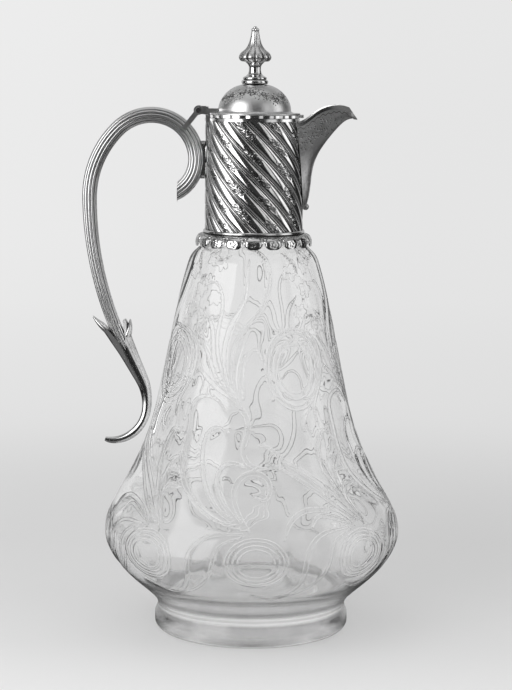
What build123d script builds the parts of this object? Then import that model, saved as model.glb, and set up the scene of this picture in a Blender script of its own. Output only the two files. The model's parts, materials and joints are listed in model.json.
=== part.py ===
from build123d import *
from math import atan2, cos, degrees, pi, radians, sin, sqrt
import os

# Silver-mounted cut-glass claret jug with a hinged lid.
# Millimetres. Origin: centre of the foot's underside. +Z up, +X towards the spout,
# -X towards the handle, so the XZ plane is the plane that holds handle, hinge and spout.

os.makedirs("parts", exist_ok=True)

# ---------------------------------------------------------------- driving sizes

# Glass: a thick foot ring, a waist, a low bulge, and a long hollow cone up to the neck
foot_radius = 47.1
foot_edge_rounding = 3.0
foot_side_height = 6.0
foot_flat_width = 7.0
foot_recess_depth = 2.4
foot_recess_slope = 3.0
waist = (45.7, 10.8)
haunch_start = (50.9, 19.2)
haunch = (62.2, 29.6)
bulge = (71.7, 49.5)
flank_start = (67.4, 61.5)
flank = (57.5, 80.0)
cone_start = (49.4, 100.0)
cone_middle = (44.4, 120.0)
cone_end = (36.1, 160.0)
shoulder = (31.1, 179.0)
shoulder_lean = (-0.31, 0.95)
shoulder_reach = 9.0
neck_flare = 6.5
neck_wall = 4.0
neck_rise = 14.4
neck_length = 11.6
glass_wall = 4.0
glass_floor_height = 16.5
glass_lip_rounding = 1.2

# Plaster that beds the silver collar on the glass neck
bedding_depth = 2.1
bedding_clearance = 0.05

# Collar: a tube of convex flutes that wind round it as they rise
collar_radius = 23.5
collar_wall = 1.8
collar_seat = 0.6
collar_height = 51.6
flute_count = 18
flute_depth = 1.0
flute_twist = 130.0

# Plain rims above and below the flutes
top_rim_height = 1.3
top_rim_overhang = 0.1
base_wire_radius = 0.8

# Border: a skirt of rounded tongues over the glass shoulder
border_count = 18
border_flare = 4.5
border_top_flare = 0.4
border_shoulder = (3.5, -2.8)
border_drop = 7.6
border_thickness = 0.8
border_notch_height = 4.4
border_notch_half_width = 3.7
border_notch_overcut = 1.0

# Spout: a beak whose underside is one curve, cut off by a rim curve above.
# Its points are measured outwards and upwards from the collar's top outer edge.
spout_heel = (0.8, -42.0)
spout_foot = (2.8, -35.1)
spout_throat = (4.2, -23.6)
spout_belly = (8.3, -13.1)
spout_neck = (14.8, -4.2)
spout_tip = (25.2, 1.2)
spout_end_top = (21.1, 6.8)
spout_edge = ((2.4, 2.0), (8.1, 6.0), (15.1, 7.7))
spout_drop_centre = (1.2, -40.7)
spout_drop_radius = 1.6
spout_shares = (0, 0.14, 0.36, 0.58, 0.8, 1)
spout_depths = (6.0, 8.0, 13.0, 20.0, 24.0, 16.0)
spout_breadths = (5.0, 7.5, 11.0, 10.5, 8.4, 8.0)
spout_wall = 1.2
spout_seam = 0.05
throat_depth = 36.6
throat_half_width = 10.4
spout_edge_drop = 1.0
spout_root_edge_drop = 1.6
spout_root_depth = 5.0
spout_rim_width = 1.7
spout_rim_proud = 0.45

# Handle: a reeded bar bent into one C scroll, and a calyx that ends in a curled tail
bar_depth = 7.7
bar_width = 9.2
reed_count = 16
reed_height = 0.45
handle_root_depth = 18.6
scroll_end_radius = 17.4
scroll_end_sweep = 74.0
scroll_cut_reach = 9.0
inner_scroll_radius = 21.0
arch_radius = 23.2
back_radius = 46.0
grip_radius = 165.0
grip_length = 68.0
tuck_length = 9.0
bar_stations = ((0.0, 1.0), (0.45, 0.98), (0.72, 0.85), (1.0, 0.79))
pad_thickness = 0.35
pad_height = 18.0
pad_width = 4.6
saddle_clearance = 0.05
tail_offset = (-5.9, 13.0)
tail_heading = -63.5
tail_standoff = 10.0
tail_turns = ((26.8, -35.5), (17.7, -57.0), (14.2, -40.0))
tail_half_widths = (6.4, 5.4, 4.5, 3.9, 3.4, 2.9, 2.45, 2.2, 2.1, 2.05, 1.75, 1.0)
tail_flatness = 0.92
outer_leaf = ((-2.7, -2.8), (-6.7, 0.2), (-10.3, 4.0))
inner_leaf = ((5.9, -5.4), (7.3, -1.4), (7.7, 2.6))
leaf_half_thicknesses = (2.2, 1.4, 0.35)
leaf_half_widths = (4.2, 3.4, 0.8)
calyx_depth = 13.9
calyx_outer_spread = 0.26
calyx_inner_spread = 0.34
calyx_room = 8.0

# Hinge: five knuckles on one pin
hinge_standoff = 3.1
hinge_rise = 4.9
knuckle_radius = 2.2
knuckle_count = 5
knuckle_length = 2.2
knuckle_gap = 0.14
knuckle_clearance = 0.3
knuckle_strap_share = 0.85
pin_radius = 0.75
pin_running_clearance = 0.05
pin_head_radius = 1.15
pin_head_height = 0.5
bracket_thickness = 2.4
bracket_foot_angle = 44.0
leaf_plate_rise = 0.8
leaf_boss_rise = 1.6
leaf_boss_length = 2.2
leaf_plate_half_width = 4.0
leaf_plate_reach = 10.0

# Lid: a scalloped rim, a raised dome and a ring that drops into the collar
lid_gap = 0.3
lid_rim_thickness = 1.3
lid_scallop_depth = 0.55
dome_skirt_radius = 21.6
dome_skirt_height = 0.7
dome_skirt_curve = 5.3
dome_radius = 17.3
dome_foot_height = 3.4
dome_height = 15.7
dome_shares = ((0.90, 0.565), (0.75, 0.765), (0.36, 0.978))
dome_wall = 0.9
bezel_clearance = 1.2
bezel_depth = 2.0
bezel_wall = 0.9

# Finial: a turned base, a fluted bell and a knop of beads on a threaded stud
finial_base_radius = 6.4
finial_base_height = 1.9
finial_ring_radius = 5.7
finial_ring_height = 1.5
finial_edge_bulge = 0.6
stem_waist_rise = 3.3
stem_radius = 2.85
stem_cup_radius = 4.75
bell_rise = 10.3
bell_radius = 7.9
bell_lobe_count = 12
bell_lobe_depth = 0.55
bell_height = 14.4
bell_top_radius = 1.85
bell_shares = ((0.98, 0.2), (0.885, 0.29), (0.685, 0.38), (0.53, 0.47), (0.365, 0.65), (0.285, 0.83))
bell_cut_count = 12
bell_bore_share = 0.6
knop_radius = 1.0
knop_rise = 1.4
knop_bead_radius = 0.85
knop_bead_rise = 0.6
knop_bead_ring = 1.05
knop_bead_count = 6
stud_radius = 1.3
stud_hole_clearance = 0.1
nut_radius = 2.9
nut_height = 2.0
stud_tail = 0.8
stud_end_room = 0.3

# ---------------------------------------------------------------- worked-out sizes

neck_root_height = shoulder[1] + neck_rise
neck_top_height = neck_root_height + neck_length
collar_bottom = neck_root_height + collar_seat
collar_top = collar_bottom + collar_height
collar_bore_radius = collar_radius - collar_wall
neck_radius = collar_bore_radius - bedding_depth
neck_bore_radius = neck_radius - neck_wall
rim_top = collar_top + top_rim_height
border_radius = collar_radius + border_flare
border_top_radius = collar_radius + border_top_flare
handle_root_height = collar_top - handle_root_depth
handle_root_x = -(collar_radius + pad_thickness + bar_depth / 2)
hinge_x = -(collar_radius + hinge_standoff)
hinge_height = collar_top + hinge_rise
knuckle_pitch = knuckle_length + knuckle_gap
hinge_width = knuckle_count * knuckle_pitch - knuckle_gap
lid_bottom = rim_top + lid_gap
lid_rim_radius = collar_radius
lid_rim_top = lid_bottom + lid_rim_thickness
dome_top = lid_bottom + dome_height
bezel_radius = collar_bore_radius - bezel_clearance
bell_bottom = dome_top + bell_rise
bell_top = bell_bottom + bell_height
overall_height = bell_top + knop_rise + knop_radius


def polar(radius, angle):
    """Point at a radius and an angle in degrees, in the plane of a sketch."""
    return (radius * cos(radians(angle)), radius * sin(radians(angle)))


def scalloped_ring(count, valley_radius, crest_radius):
    """Closed ring of equal outward arcs that meet in valleys."""
    step = 360 / count
    for i in range(count):
        ThreePointArc(
            polar(valley_radius, i * step),
            polar(crest_radius, (i + 0.5) * step),
            polar(valley_radius, (i + 1) * step),
        )


def radial_planes(count):
    """Upright planes through the axis, each facing outwards, at equal angles."""
    planes = []
    for i in range(count):
        x, y = polar(1, i * 360 / count)
        planes.append(Plane(origin=(0, 0, 0), x_dir=(-y, x, 0), z_dir=(x, y, 0)))
    return planes


def from_edge(*points):
    """Points measured from the collar's top outer edge, put in their places in the XZ plane."""
    return [(collar_radius + x, collar_top + z) for x, z in points]


def inset(curve, share, distance):
    """Point at a share of a curve's length, moved to the left of its direction."""
    point = curve @ share
    way = curve % share
    return (point.X - distance * way.Y, point.Y + distance * way.X)


# ---------------------------------------------------------------- glass and bedding

with BuildPart() as glass_body:
    with BuildSketch(Plane.XZ):
        with BuildLine():
            recess_edge = foot_radius - foot_edge_rounding - foot_flat_width
            Polyline(
                (0, foot_recess_depth),
                (recess_edge - foot_recess_slope, foot_recess_depth),
                (recess_edge, 0),
                (foot_radius - foot_edge_rounding, 0),
            )
            RadiusArc(
                (foot_radius - foot_edge_rounding, 0),
                (foot_radius, foot_edge_rounding),
                -foot_edge_rounding,
            )
            Line((foot_radius, foot_edge_rounding), (foot_radius, foot_side_height))
            Spline(
                (foot_radius, foot_side_height),
                waist,
                tangents=((0, 1), (0, 1)),
                tangent_scalars=(1, 1),
            )
            outside = Spline(
                waist,
                haunch_start,
                haunch,
                bulge,
                flank_start,
                flank,
                cone_start,
                cone_middle,
                cone_end,
                shoulder,
                tangents=((0, 1), shoulder_lean),
                tangent_scalars=(1, 1),
            )
            lean = Vector(*shoulder_lean)
            Bezier(
                shoulder,
                Vector(*shoulder) + lean * shoulder_reach,
                (neck_radius, neck_root_height - neck_flare),
                (neck_radius, neck_root_height),
            )
            Line((neck_radius, neck_root_height), (neck_radius, neck_top_height))
            Line((neck_radius, neck_top_height), (neck_bore_radius, neck_top_height))
            Line(
                (neck_bore_radius, neck_top_height),
                (neck_bore_radius, neck_root_height),
            )
            inner_shoulder = Vector(*inset(outside, 1, glass_wall))
            Bezier(
                (neck_bore_radius, neck_root_height),
                (neck_bore_radius, neck_root_height - neck_flare),
                inner_shoulder + lean * shoulder_reach,
                inner_shoulder,
            )
            Spline(
                inner_shoulder,
                *(inset(outside, share, glass_wall) for share in (0.8, 0.6, 0.4, 0.25, 0.12)),
                (waist[0] - glass_wall, glass_floor_height + glass_wall),
                (waist[0] / 2, glass_floor_height),
                (0, glass_floor_height),
                tangents=(lean * -1, (-1, 0)),
                tangent_scalars=(1, 1),
            )
            Line((0, glass_floor_height), (0, foot_recess_depth))
        make_face()
    revolve(axis=Axis.Z)
    fillet(glass_body.faces().sort_by(Axis.Z)[-1].edges(), glass_lip_rounding)
glass_body.part.label = "glass_body"
export_step(glass_body.part, "parts/glass_body.step")

with BuildPart() as neck_bedding:
    with BuildSketch(Plane.XY.offset(neck_root_height + base_wire_radius)):
        Circle(collar_bore_radius - bedding_clearance)
        Circle(neck_radius + bedding_clearance, mode=Mode.SUBTRACT)
    extrude(amount=neck_top_height - neck_root_height - base_wire_radius - glass_lip_rounding)
neck_bedding.part.label = "neck_bedding"
export_step(neck_bedding.part, "parts/neck_bedding.step")

# ---------------------------------------------------------------- collar

with BuildSketch(Plane.XY.offset(collar_bottom)) as flute_section:
    with BuildLine():
        scalloped_ring(flute_count, collar_radius - flute_depth, collar_radius)
    make_face()

with BuildPart() as collar:
    add(
        Solid.extrude_linear_with_rotation(
            flute_section.sketch.face(),
            (0, 0, collar_bottom),
            (0, 0, collar_top - collar_bottom),
            -flute_twist,
        )
    )
    with BuildSketch(Plane.XY.offset(collar_bottom)):
        Circle(collar_bore_radius)
    extrude(amount=collar_top - collar_bottom, mode=Mode.SUBTRACT)
    with BuildSketch(Plane.YZ):
        with BuildLine():
            Polyline(
                (0, collar_top - throat_depth),
                (throat_half_width, rim_top),
                (-throat_half_width, rim_top),
                close=True,
            )
        make_face()
    extrude(amount=collar_radius + spout_wall, mode=Mode.SUBTRACT)
collar.part.label = "collar"
export_step(collar.part, "parts/collar.step")

with BuildPart() as collar_rim:
    with BuildSketch(Plane.XY.offset(collar_top)):
        Circle(collar_radius + top_rim_overhang)
        Circle(collar_bore_radius, mode=Mode.SUBTRACT)
    extrude(amount=top_rim_height)
    with BuildSketch(Plane.YZ):
        with Locations((0, collar_top)):
            Rectangle(2 * throat_half_width, 4 * top_rim_height)
    extrude(amount=collar_radius + spout_wall, mode=Mode.SUBTRACT)
collar_rim.part.label = "collar_rim"
export_step(collar_rim.part, "parts/collar_rim.step")

with BuildPart() as base_wire:
    with BuildSketch(Plane.XZ):
        with BuildLine():
            ThreePointArc(
                (collar_radius, collar_bottom),
                (collar_radius + base_wire_radius, collar_bottom - base_wire_radius),
                (collar_radius, collar_bottom - 2 * base_wire_radius),
            )
            Polyline(
                (collar_radius, collar_bottom - 2 * base_wire_radius),
                (collar_bore_radius, collar_bottom - 2 * base_wire_radius),
                (collar_bore_radius, collar_bottom),
                (collar_radius, collar_bottom),
            )
        make_face()
    revolve(axis=Axis.Z)
base_wire.part.label = "base_wire"
export_step(base_wire.part, "parts/base_wire.step")

border_top = collar_bottom - base_wire_radius * 2
border_bottom = collar_bottom - border_drop
border_middle = (border_top + border_bottom) / 2
border_pitch = 2 * pi * border_radius / border_count
shoulder_radius = collar_radius + border_shoulder[0]
shoulder_height = collar_bottom + border_shoulder[1]
with BuildPart() as collar_border:
    with BuildSketch(Plane.XZ):
        with BuildLine():
            Spline(
                (border_top_radius, border_top),
                (shoulder_radius, shoulder_height),
                (border_radius, border_middle - border_thickness / 2),
                (border_radius, border_bottom),
                tangents=((1, -0.2), (0, -1)),
            )
            Line((border_radius, border_bottom), (border_radius - border_thickness, border_bottom))
            Spline(
                (border_radius - border_thickness, border_bottom),
                (border_radius - border_thickness, border_middle - border_thickness),
                (shoulder_radius - border_thickness, shoulder_height - border_thickness),
                (border_top_radius - border_thickness, border_top - border_thickness),
                (collar_bore_radius, border_top - border_thickness),
            )
            Polyline(
                (collar_bore_radius, border_top - border_thickness),
                (collar_bore_radius, border_top),
                (border_top_radius, border_top),
            )
        make_face()
    revolve(axis=Axis.Z)
    with BuildSketch(*radial_planes(border_count)):
        with BuildLine():
            RadiusArc(
                (0, border_bottom + border_notch_height),
                (border_notch_half_width, border_bottom),
                border_pitch / 2,
            )
            Polyline(
                (border_notch_half_width, border_bottom),
                (border_notch_half_width, border_bottom - border_notch_overcut),
                (0, border_bottom - border_notch_overcut),
            )
            mirror(about=Plane.YZ)
        make_face()
    extrude(amount=border_radius + border_notch_overcut, mode=Mode.SUBTRACT)
collar_border.part.label = "collar_border"
export_step(collar_border.part, "parts/collar_border.step")

# ---------------------------------------------------------------- spout

underside_points = from_edge(
    spout_heel, spout_foot, spout_throat, spout_belly, spout_neck, spout_tip
)
with BuildLine(Plane.XZ):
    spout_underside = Spline(*underside_points, tangents=((0.6, 1), (1, 0.25)))
spout_root = collar_radius - spout_root_depth
spout_bottom = underside_points[0][1] - spout_root_depth
tip_x, tip_z = underside_points[-1]


def spout_body(inward):
    """U-shaped sections square to the underside, each drawn inward by a wall, lofted in order."""
    with BuildPart() as body:
        for share, depth, breadth in zip(spout_shares, spout_depths, spout_breadths):
            way = spout_underside % share
            plane = Plane(
                origin=spout_underside @ share, x_dir=(0, 1, 0), z_dir=(way.X, 0, way.Z)
            )
            half = sqrt(breadth * depth) - inward
            with BuildSketch(plane):
                with BuildLine():
                    Bezier((-half, depth), (0, 2 * inward - depth), (half, depth))
                    Line((half, depth), (-half, depth))
                make_face()
        loft()
    return body.part


def spout_side(drop):
    """Side outline of the beak, its upper edge and its lip drawn in by a drop."""
    with BuildPart() as side:
        with BuildSketch(Plane.XZ):
            with BuildLine():
                edge = Spline(
                    (spout_root, rim_top - spout_root_edge_drop - drop),
                    (collar_radius, rim_top - spout_edge_drop - drop),
                    *((x, z - drop) for x, z in from_edge(*spout_edge)),
                    *((x - drop, z - drop) for x, z in from_edge(spout_end_top)),
                )
                Polyline(
                    edge @ 1,
                    (tip_x - drop, tip_z),
                    (tip_x - drop, spout_bottom),
                    (spout_root, spout_bottom),
                    edge @ 0,
                )
            make_face()
        extrude(amount=collar_radius, both=True)
    return side.part


with BuildPart() as spout:
    add(spout_body(0))
    add(spout_body(spout_wall), mode=Mode.SUBTRACT)
    add(spout_side(0), mode=Mode.INTERSECT)
    with Locations(*((x, 0, z) for x, z in from_edge(spout_drop_centre))):
        Sphere(spout_drop_radius)
    with BuildSketch(Plane.XY.offset(spout_bottom)):
        Circle(collar_radius + spout_seam)
    extrude(amount=overall_height - spout_bottom, mode=Mode.SUBTRACT)
spout.part.label = "spout"
export_step(spout.part, "parts/spout.step")

with BuildPart() as spout_rim:
    add(spout_body(-spout_rim_proud))
    add(spout_side(0), mode=Mode.INTERSECT)
    add(spout_side(spout_rim_width), mode=Mode.SUBTRACT)
    add(spout_body(0), mode=Mode.SUBTRACT)
    with BuildSketch(Plane.XY.offset(spout_bottom)):
        Circle(collar_radius + spout_seam)
    extrude(amount=overall_height - spout_bottom, mode=Mode.SUBTRACT)
spout_rim.part.label = "spout_rim"
export_step(spout_rim.part, "parts/spout_rim.step")

# ---------------------------------------------------------------- handle


def arc_chain(start, heading, turns):
    """Tangent arcs from a start point and heading: each turn is (radius, sweep), + to the left.
    Returns the end point."""
    x, z = start
    for radius, sweep in turns:
        side = 1 if sweep > 0 else -1
        there = radians(heading + sweep)
        here = radians(heading)
        JernArc((x, z), (cos(here), sin(here)), radius, sweep)
        x += side * radius * (sin(there) - sin(here))
        z -= side * radius * (cos(there) - cos(here))
        heading += sweep
    return (x, z)


def reeded_outline(count, half_width, half_depth, reed):
    """Closed ring of reeds round an ellipse."""
    step = 360 / count

    def on_ellipse(angle, sunk):
        return (
            (half_width - sunk) * cos(radians(angle)),
            (half_depth - sunk) * sin(radians(angle)),
        )

    for i in range(count):
        ThreePointArc(
            on_ellipse((i - 0.5) * step, reed),
            on_ellipse(i * step, 0),
            on_ellipse((i + 0.5) * step, reed),
        )


scroll_start_heading = 90 - scroll_end_sweep
scroll_start = (
    handle_root_x - scroll_end_radius * (1 - sin(radians(scroll_start_heading))),
    handle_root_height - scroll_end_radius * cos(radians(scroll_start_heading)),
)
grip_sweep = degrees(grip_length / grip_radius)
tuck_sweep = 360 + tail_heading - (270 + grip_sweep)
with BuildLine(Plane.XZ) as handle_line:
    handle_end = arc_chain(
        scroll_start,
        scroll_start_heading,
        (
            (scroll_end_radius, scroll_end_sweep),
            (inner_scroll_radius, 90),
            (arch_radius, 45),
            (back_radius, 45),
            (grip_radius, grip_sweep),
            (tuck_length / radians(tuck_sweep), tuck_sweep),
        ),
    )
handle_path = Wire(handle_line.line.edges())


def square_to(path, share):
    """Plane square to a path in the XZ plane, at a share of its length."""
    way = path % share
    return Plane(origin=path @ share, x_dir=(0, 1, 0), z_dir=(way.X, 0, way.Z))


with BuildPart() as bar_envelope:
    for share, scale in bar_stations:
        with BuildSketch(square_to(handle_path, share)):
            Ellipse(
                bar_width / 2 * scale + saddle_clearance, bar_depth / 2 * scale + saddle_clearance
            )
    sweep(path=handle_path, multisection=True)

with BuildPart() as handle_bar:
    for share, scale in bar_stations:
        with BuildSketch(square_to(handle_path, share)):
            with BuildLine():
                reeded_outline(
                    reed_count, bar_width / 2 * scale, bar_depth / 2 * scale, reed_height * scale
                )
            make_face()
    sweep(path=handle_path, multisection=True)
    with BuildSketch(Plane.XZ):
        with Locations((handle_root_x - scroll_cut_reach, scroll_start[1])):
            Rectangle(2 * bar_depth, 2 * bar_depth, align=(Align.MAX, Align.CENTER))
    extrude(amount=bar_width, both=True, mode=Mode.SUBTRACT)
handle_bar.part.label = "handle_bar"
export_step(handle_bar.part, "parts/handle_bar.step")

with BuildPart() as handle_pad:
    with BuildSketch(Plane.YZ.offset(-collar_radius - bar_depth / 2)):
        with Locations((0, handle_root_height)):
            SlotOverall(pad_height, pad_width, rotation=90)
    extrude(amount=bar_depth / 2 + pad_thickness)
    with BuildSketch(Plane.XY.offset(handle_root_height - pad_height)):
        Circle(collar_radius + saddle_clearance)
    extrude(amount=2 * pad_height, mode=Mode.SUBTRACT)
    add(bar_envelope.part, mode=Mode.SUBTRACT)
handle_pad.part.label = "handle_pad"
export_step(handle_pad.part, "parts/handle_pad.step")

tail_start = (handle_end[0] + tail_offset[0], handle_end[1] + tail_offset[1])
run_x = cos(radians(tail_heading))
run_z = sin(radians(tail_heading))
cone_slope = (cone_middle[0] - cone_start[0]) / (cone_middle[1] - cone_start[1])
cone_radius_beside = cone_start[0] + cone_slope * (tail_start[1] - cone_start[1])
tail_run = (-tail_start[0] - cone_radius_beside - tail_standoff) / (run_x + cone_slope * run_z)
tail_run_end = (tail_start[0] + tail_run * run_x, tail_start[1] + tail_run * run_z)
with BuildLine(Plane.XZ) as tail_line:
    Line(tail_start, tail_run_end)
    arc_chain(tail_run_end, tail_heading, tail_turns)


def beside_tail(along, across):
    """Point of the XZ plane at a distance along the tail's straight run and one to its right."""
    return (
        tail_start[0] + along * run_x - across * run_z,
        tail_start[1] + along * run_z + across * run_x,
    )


def leaf(stations):
    """A pointed leaf lofted through ellipses at its three stations, measured from the tail's start."""
    with BuildPart() as blade:
        rise = atan2(stations[-1][1] - stations[0][1], stations[-1][0] - stations[0][0])
        for (x, z), half_width, half_thickness in zip(
            stations, leaf_half_widths, leaf_half_thicknesses
        ):
            plane = Plane(
                origin=(tail_start[0] + x, 0, tail_start[1] + z),
                x_dir=(0, 1, 0),
                z_dir=(cos(rise), 0, sin(rise)),
            )
            with BuildSketch(plane):
                Ellipse(half_width, half_thickness)
        loft()
    return blade.part


with BuildPart() as handle_tail:
    for i, half_width in enumerate(tail_half_widths):
        with BuildSketch(square_to(tail_line.line, i / (len(tail_half_widths) - 1))):
            Ellipse(half_width * tail_flatness, half_width)
    loft()
    add(leaf(outer_leaf))
    add(leaf(inner_leaf))
    with BuildSketch(Plane.XZ):
        with BuildLine():
            notch = calyx_depth + calyx_room
            Polyline(
                beside_tail(calyx_depth, 0),
                beside_tail(-calyx_room, -calyx_outer_spread * notch),
                beside_tail(-calyx_room, calyx_inner_spread * notch),
                close=True,
            )
        make_face()
    extrude(amount=bar_width, both=True, mode=Mode.SUBTRACT)
    add(bar_envelope.part, mode=Mode.SUBTRACT)
handle_tail.part.label = "handle_tail"
export_step(handle_tail.part, "parts/handle_tail.step")

# ---------------------------------------------------------------- hinge


def across(y):
    """The XZ plane moved to a place across the jug, facing -Y."""
    return Plane.XZ.offset(-y)


def knuckle_places(first):
    """Start of each second knuckle along the hinge, from the one numbered first."""
    return [i * knuckle_pitch - hinge_width / 2 for i in range(first, knuckle_count, 2)]


bracket_foot = (
    handle_root_x - inner_scroll_radius * (1 - cos(radians(bracket_foot_angle))),
    handle_root_height + inner_scroll_radius * sin(radians(bracket_foot_angle)),
)
with BuildPart() as hinge_bracket:
    with BuildSketch(Plane.XZ):
        with BuildLine():
            Line(bracket_foot, (hinge_x, hinge_height))
        trace(line_width=bracket_thickness)
        with Locations((hinge_x, hinge_height)):
            Circle(knuckle_radius)
    extrude(amount=hinge_width / 2, both=True)
    for y in knuckle_places(1):
        with BuildSketch(across(y + knuckle_length + knuckle_gap)):
            with Locations((hinge_x, hinge_height)):
                Circle(knuckle_radius + knuckle_clearance)
        extrude(amount=knuckle_length + 2 * knuckle_gap, mode=Mode.SUBTRACT)
    with BuildSketch(Plane.XZ):
        with Locations((hinge_x, hinge_height)):
            Circle(pin_radius)
    extrude(amount=hinge_width, both=True, mode=Mode.SUBTRACT)
    add(bar_envelope.part, mode=Mode.SUBTRACT)
hinge_bracket.part.label = "hinge_bracket"
export_step(hinge_bracket.part, "parts/hinge_bracket.step")

with BuildPart() as hinge_pin:
    with BuildSketch(Plane.XZ):
        with Locations((hinge_x, hinge_height)):
            Circle(pin_radius)
    extrude(amount=hinge_width / 2, both=True)
    with BuildSketch(across(-hinge_width / 2), across(hinge_width / 2 + pin_head_height)):
        with Locations((hinge_x, hinge_height)):
            Circle(pin_head_radius)
    extrude(amount=pin_head_height)
hinge_pin.part.label = "hinge_pin"
export_step(hinge_pin.part, "parts/hinge_pin.step")

# ---------------------------------------------------------------- lid

dome_bore = dome_radius - dome_wall
with BuildPart() as lid_rim:
    with BuildSketch(Plane.XY.offset(lid_bottom)):
        with BuildLine():
            scalloped_ring(border_count, lid_rim_radius - lid_scallop_depth, lid_rim_radius)
        make_face()
        Circle(dome_bore, mode=Mode.SUBTRACT)
    extrude(amount=lid_rim_thickness)
lid_rim.part.label = "lid_rim"
export_step(lid_rim.part, "parts/lid_rim.step")

stud_hole_radius = stud_radius + stud_hole_clearance
with BuildPart() as lid_dome:
    with BuildSketch(Plane.XZ):
        with BuildLine():
            RadiusArc(
                (dome_skirt_radius, lid_rim_top + dome_skirt_height),
                (dome_radius, lid_bottom + dome_foot_height),
                dome_skirt_curve,
            )
            crown = Spline(
                (dome_radius, lid_bottom + dome_foot_height),
                *((dome_radius * out, lid_bottom + dome_height * up) for out, up in dome_shares),
                (stud_hole_radius, dome_top),
                tangents=((0, 1), (-1, 0)),
            )
            Line((stud_hole_radius, dome_top), (stud_hole_radius, dome_top - dome_wall))
            Spline(
                (stud_hole_radius, dome_top - dome_wall),
                *(inset(crown, share, dome_wall) for share in (0.78, 0.5, 0.25)),
                (dome_bore, lid_bottom + dome_foot_height),
                tangents=((1, 0), (0, -1)),
            )
            Polyline(
                (dome_bore, lid_bottom + dome_foot_height),
                (dome_bore, lid_rim_top),
                (dome_skirt_radius, lid_rim_top),
                (dome_skirt_radius, lid_rim_top + dome_skirt_height),
            )
        make_face()
    revolve(axis=Axis.Z)
lid_dome.part.label = "lid_dome"
export_step(lid_dome.part, "parts/lid_dome.step")

with BuildPart() as lid_bezel:
    with BuildSketch(Plane.XY.offset(lid_bottom - bezel_depth)):
        Circle(bezel_radius)
        Circle(bezel_radius - bezel_wall, mode=Mode.SUBTRACT)
    extrude(amount=bezel_depth)
lid_bezel.part.label = "lid_bezel"
export_step(lid_bezel.part, "parts/lid_bezel.step")

leaf_boss_start = hinge_x + knuckle_radius + knuckle_clearance
with BuildPart() as hinge_leaf:
    with BuildSketch(Plane.XZ):
        with Locations((leaf_boss_start, lid_rim_top)):
            Rectangle(
                hinge_x + leaf_plate_reach - leaf_boss_start,
                hinge_height + leaf_plate_rise - lid_rim_top,
                align=(Align.MIN, Align.MIN),
            )
            Rectangle(
                leaf_boss_length,
                hinge_height + leaf_boss_rise - lid_rim_top,
                align=(Align.MIN, Align.MIN),
            )
    extrude(amount=leaf_plate_half_width, both=True)
    for y in knuckle_places(1):
        with BuildSketch(across(y + knuckle_length)):
            with Locations((hinge_x, hinge_height)):
                Circle(knuckle_radius)
                Rectangle(
                    leaf_boss_start - hinge_x + leaf_boss_length / 2,
                    2 * knuckle_radius * knuckle_strap_share,
                    align=(Align.MIN, Align.CENTER),
                )
        extrude(amount=knuckle_length)
    with BuildSketch(Plane.XZ):
        with Locations((hinge_x, hinge_height)):
            Circle(pin_radius + pin_running_clearance)
    extrude(amount=hinge_width, both=True, mode=Mode.SUBTRACT)
    add(lid_dome.part, mode=Mode.SUBTRACT)
    with BuildSketch(Plane.XY.offset(lid_rim_top)):
        Circle(dome_radius)
    extrude(amount=dome_height, mode=Mode.SUBTRACT)
hinge_leaf.part.label = "hinge_leaf"
export_step(hinge_leaf.part, "parts/hinge_leaf.step")

# ---------------------------------------------------------------- finial

ring_bottom = dome_top + finial_base_height
ring_top = ring_bottom + finial_ring_height
base_edge = finial_base_radius - finial_edge_bulge
ring_edge = finial_ring_radius - finial_edge_bulge
with BuildPart() as finial_base:
    with BuildSketch(Plane.XZ):
        with BuildLine():
            Line((stud_hole_radius, dome_top), (base_edge, dome_top))
            ThreePointArc(
                (base_edge, dome_top),
                (finial_base_radius, dome_top + finial_base_height / 2),
                (base_edge, ring_bottom),
            )
            Line((base_edge, ring_bottom), (ring_edge, ring_bottom))
            ThreePointArc(
                (ring_edge, ring_bottom),
                (finial_ring_radius, (ring_bottom + ring_top) / 2),
                (ring_edge, ring_top),
            )
            Spline(
                (ring_edge, ring_top),
                (stem_radius, ring_top + stem_waist_rise),
                (stem_cup_radius, bell_bottom),
                tangents=((-1, 0.4), (1, 0.5)),
            )
            Polyline(
                (stem_cup_radius, bell_bottom),
                (stud_hole_radius, bell_bottom),
                (stud_hole_radius, dome_top),
            )
        make_face()
    revolve(axis=Axis.Z)
finial_base.part.label = "finial_base"
export_step(finial_base.part, "parts/finial_base.step")

with BuildLine() as bell_line:
    Spline(
        (bell_radius, bell_bottom),
        *((bell_radius * out, bell_bottom + bell_height * up) for out, up in bell_shares),
        (bell_top_radius, bell_top),
        tangents=((0, 1), (-0.1, 1)),
    )
with BuildPart() as finial_bell:
    for i in range(bell_cut_count + 1):
        place = bell_line.line @ (i / bell_cut_count)
        with BuildSketch(Plane.XY.offset(place.Y)):
            with BuildLine():
                sunk = bell_lobe_depth * place.X / bell_radius
                scalloped_ring(bell_lobe_count, place.X - sunk, place.X)
            make_face()
    loft()
    with BuildSketch(Plane.XY.offset(bell_bottom)):
        Circle(stud_hole_radius)
    extrude(amount=bell_height * bell_bore_share, mode=Mode.SUBTRACT)
finial_bell.part.label = "finial_bell"
export_step(finial_bell.part, "parts/finial_bell.step")

with BuildPart() as finial_knop:
    with Locations((0, 0, overall_height - knop_radius)):
        Sphere(knop_radius)
    with Locations((0, 0, bell_top + knop_bead_rise)):
        with PolarLocations(knop_bead_ring, knop_bead_count):
            Sphere(knop_bead_radius)
    with BuildSketch(Plane.XY.offset(bell_bottom)):
        Circle(bell_radius)
    extrude(amount=bell_height, mode=Mode.SUBTRACT)
finial_knop.part.label = "finial_knop"
export_step(finial_knop.part, "parts/finial_knop.step")

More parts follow.
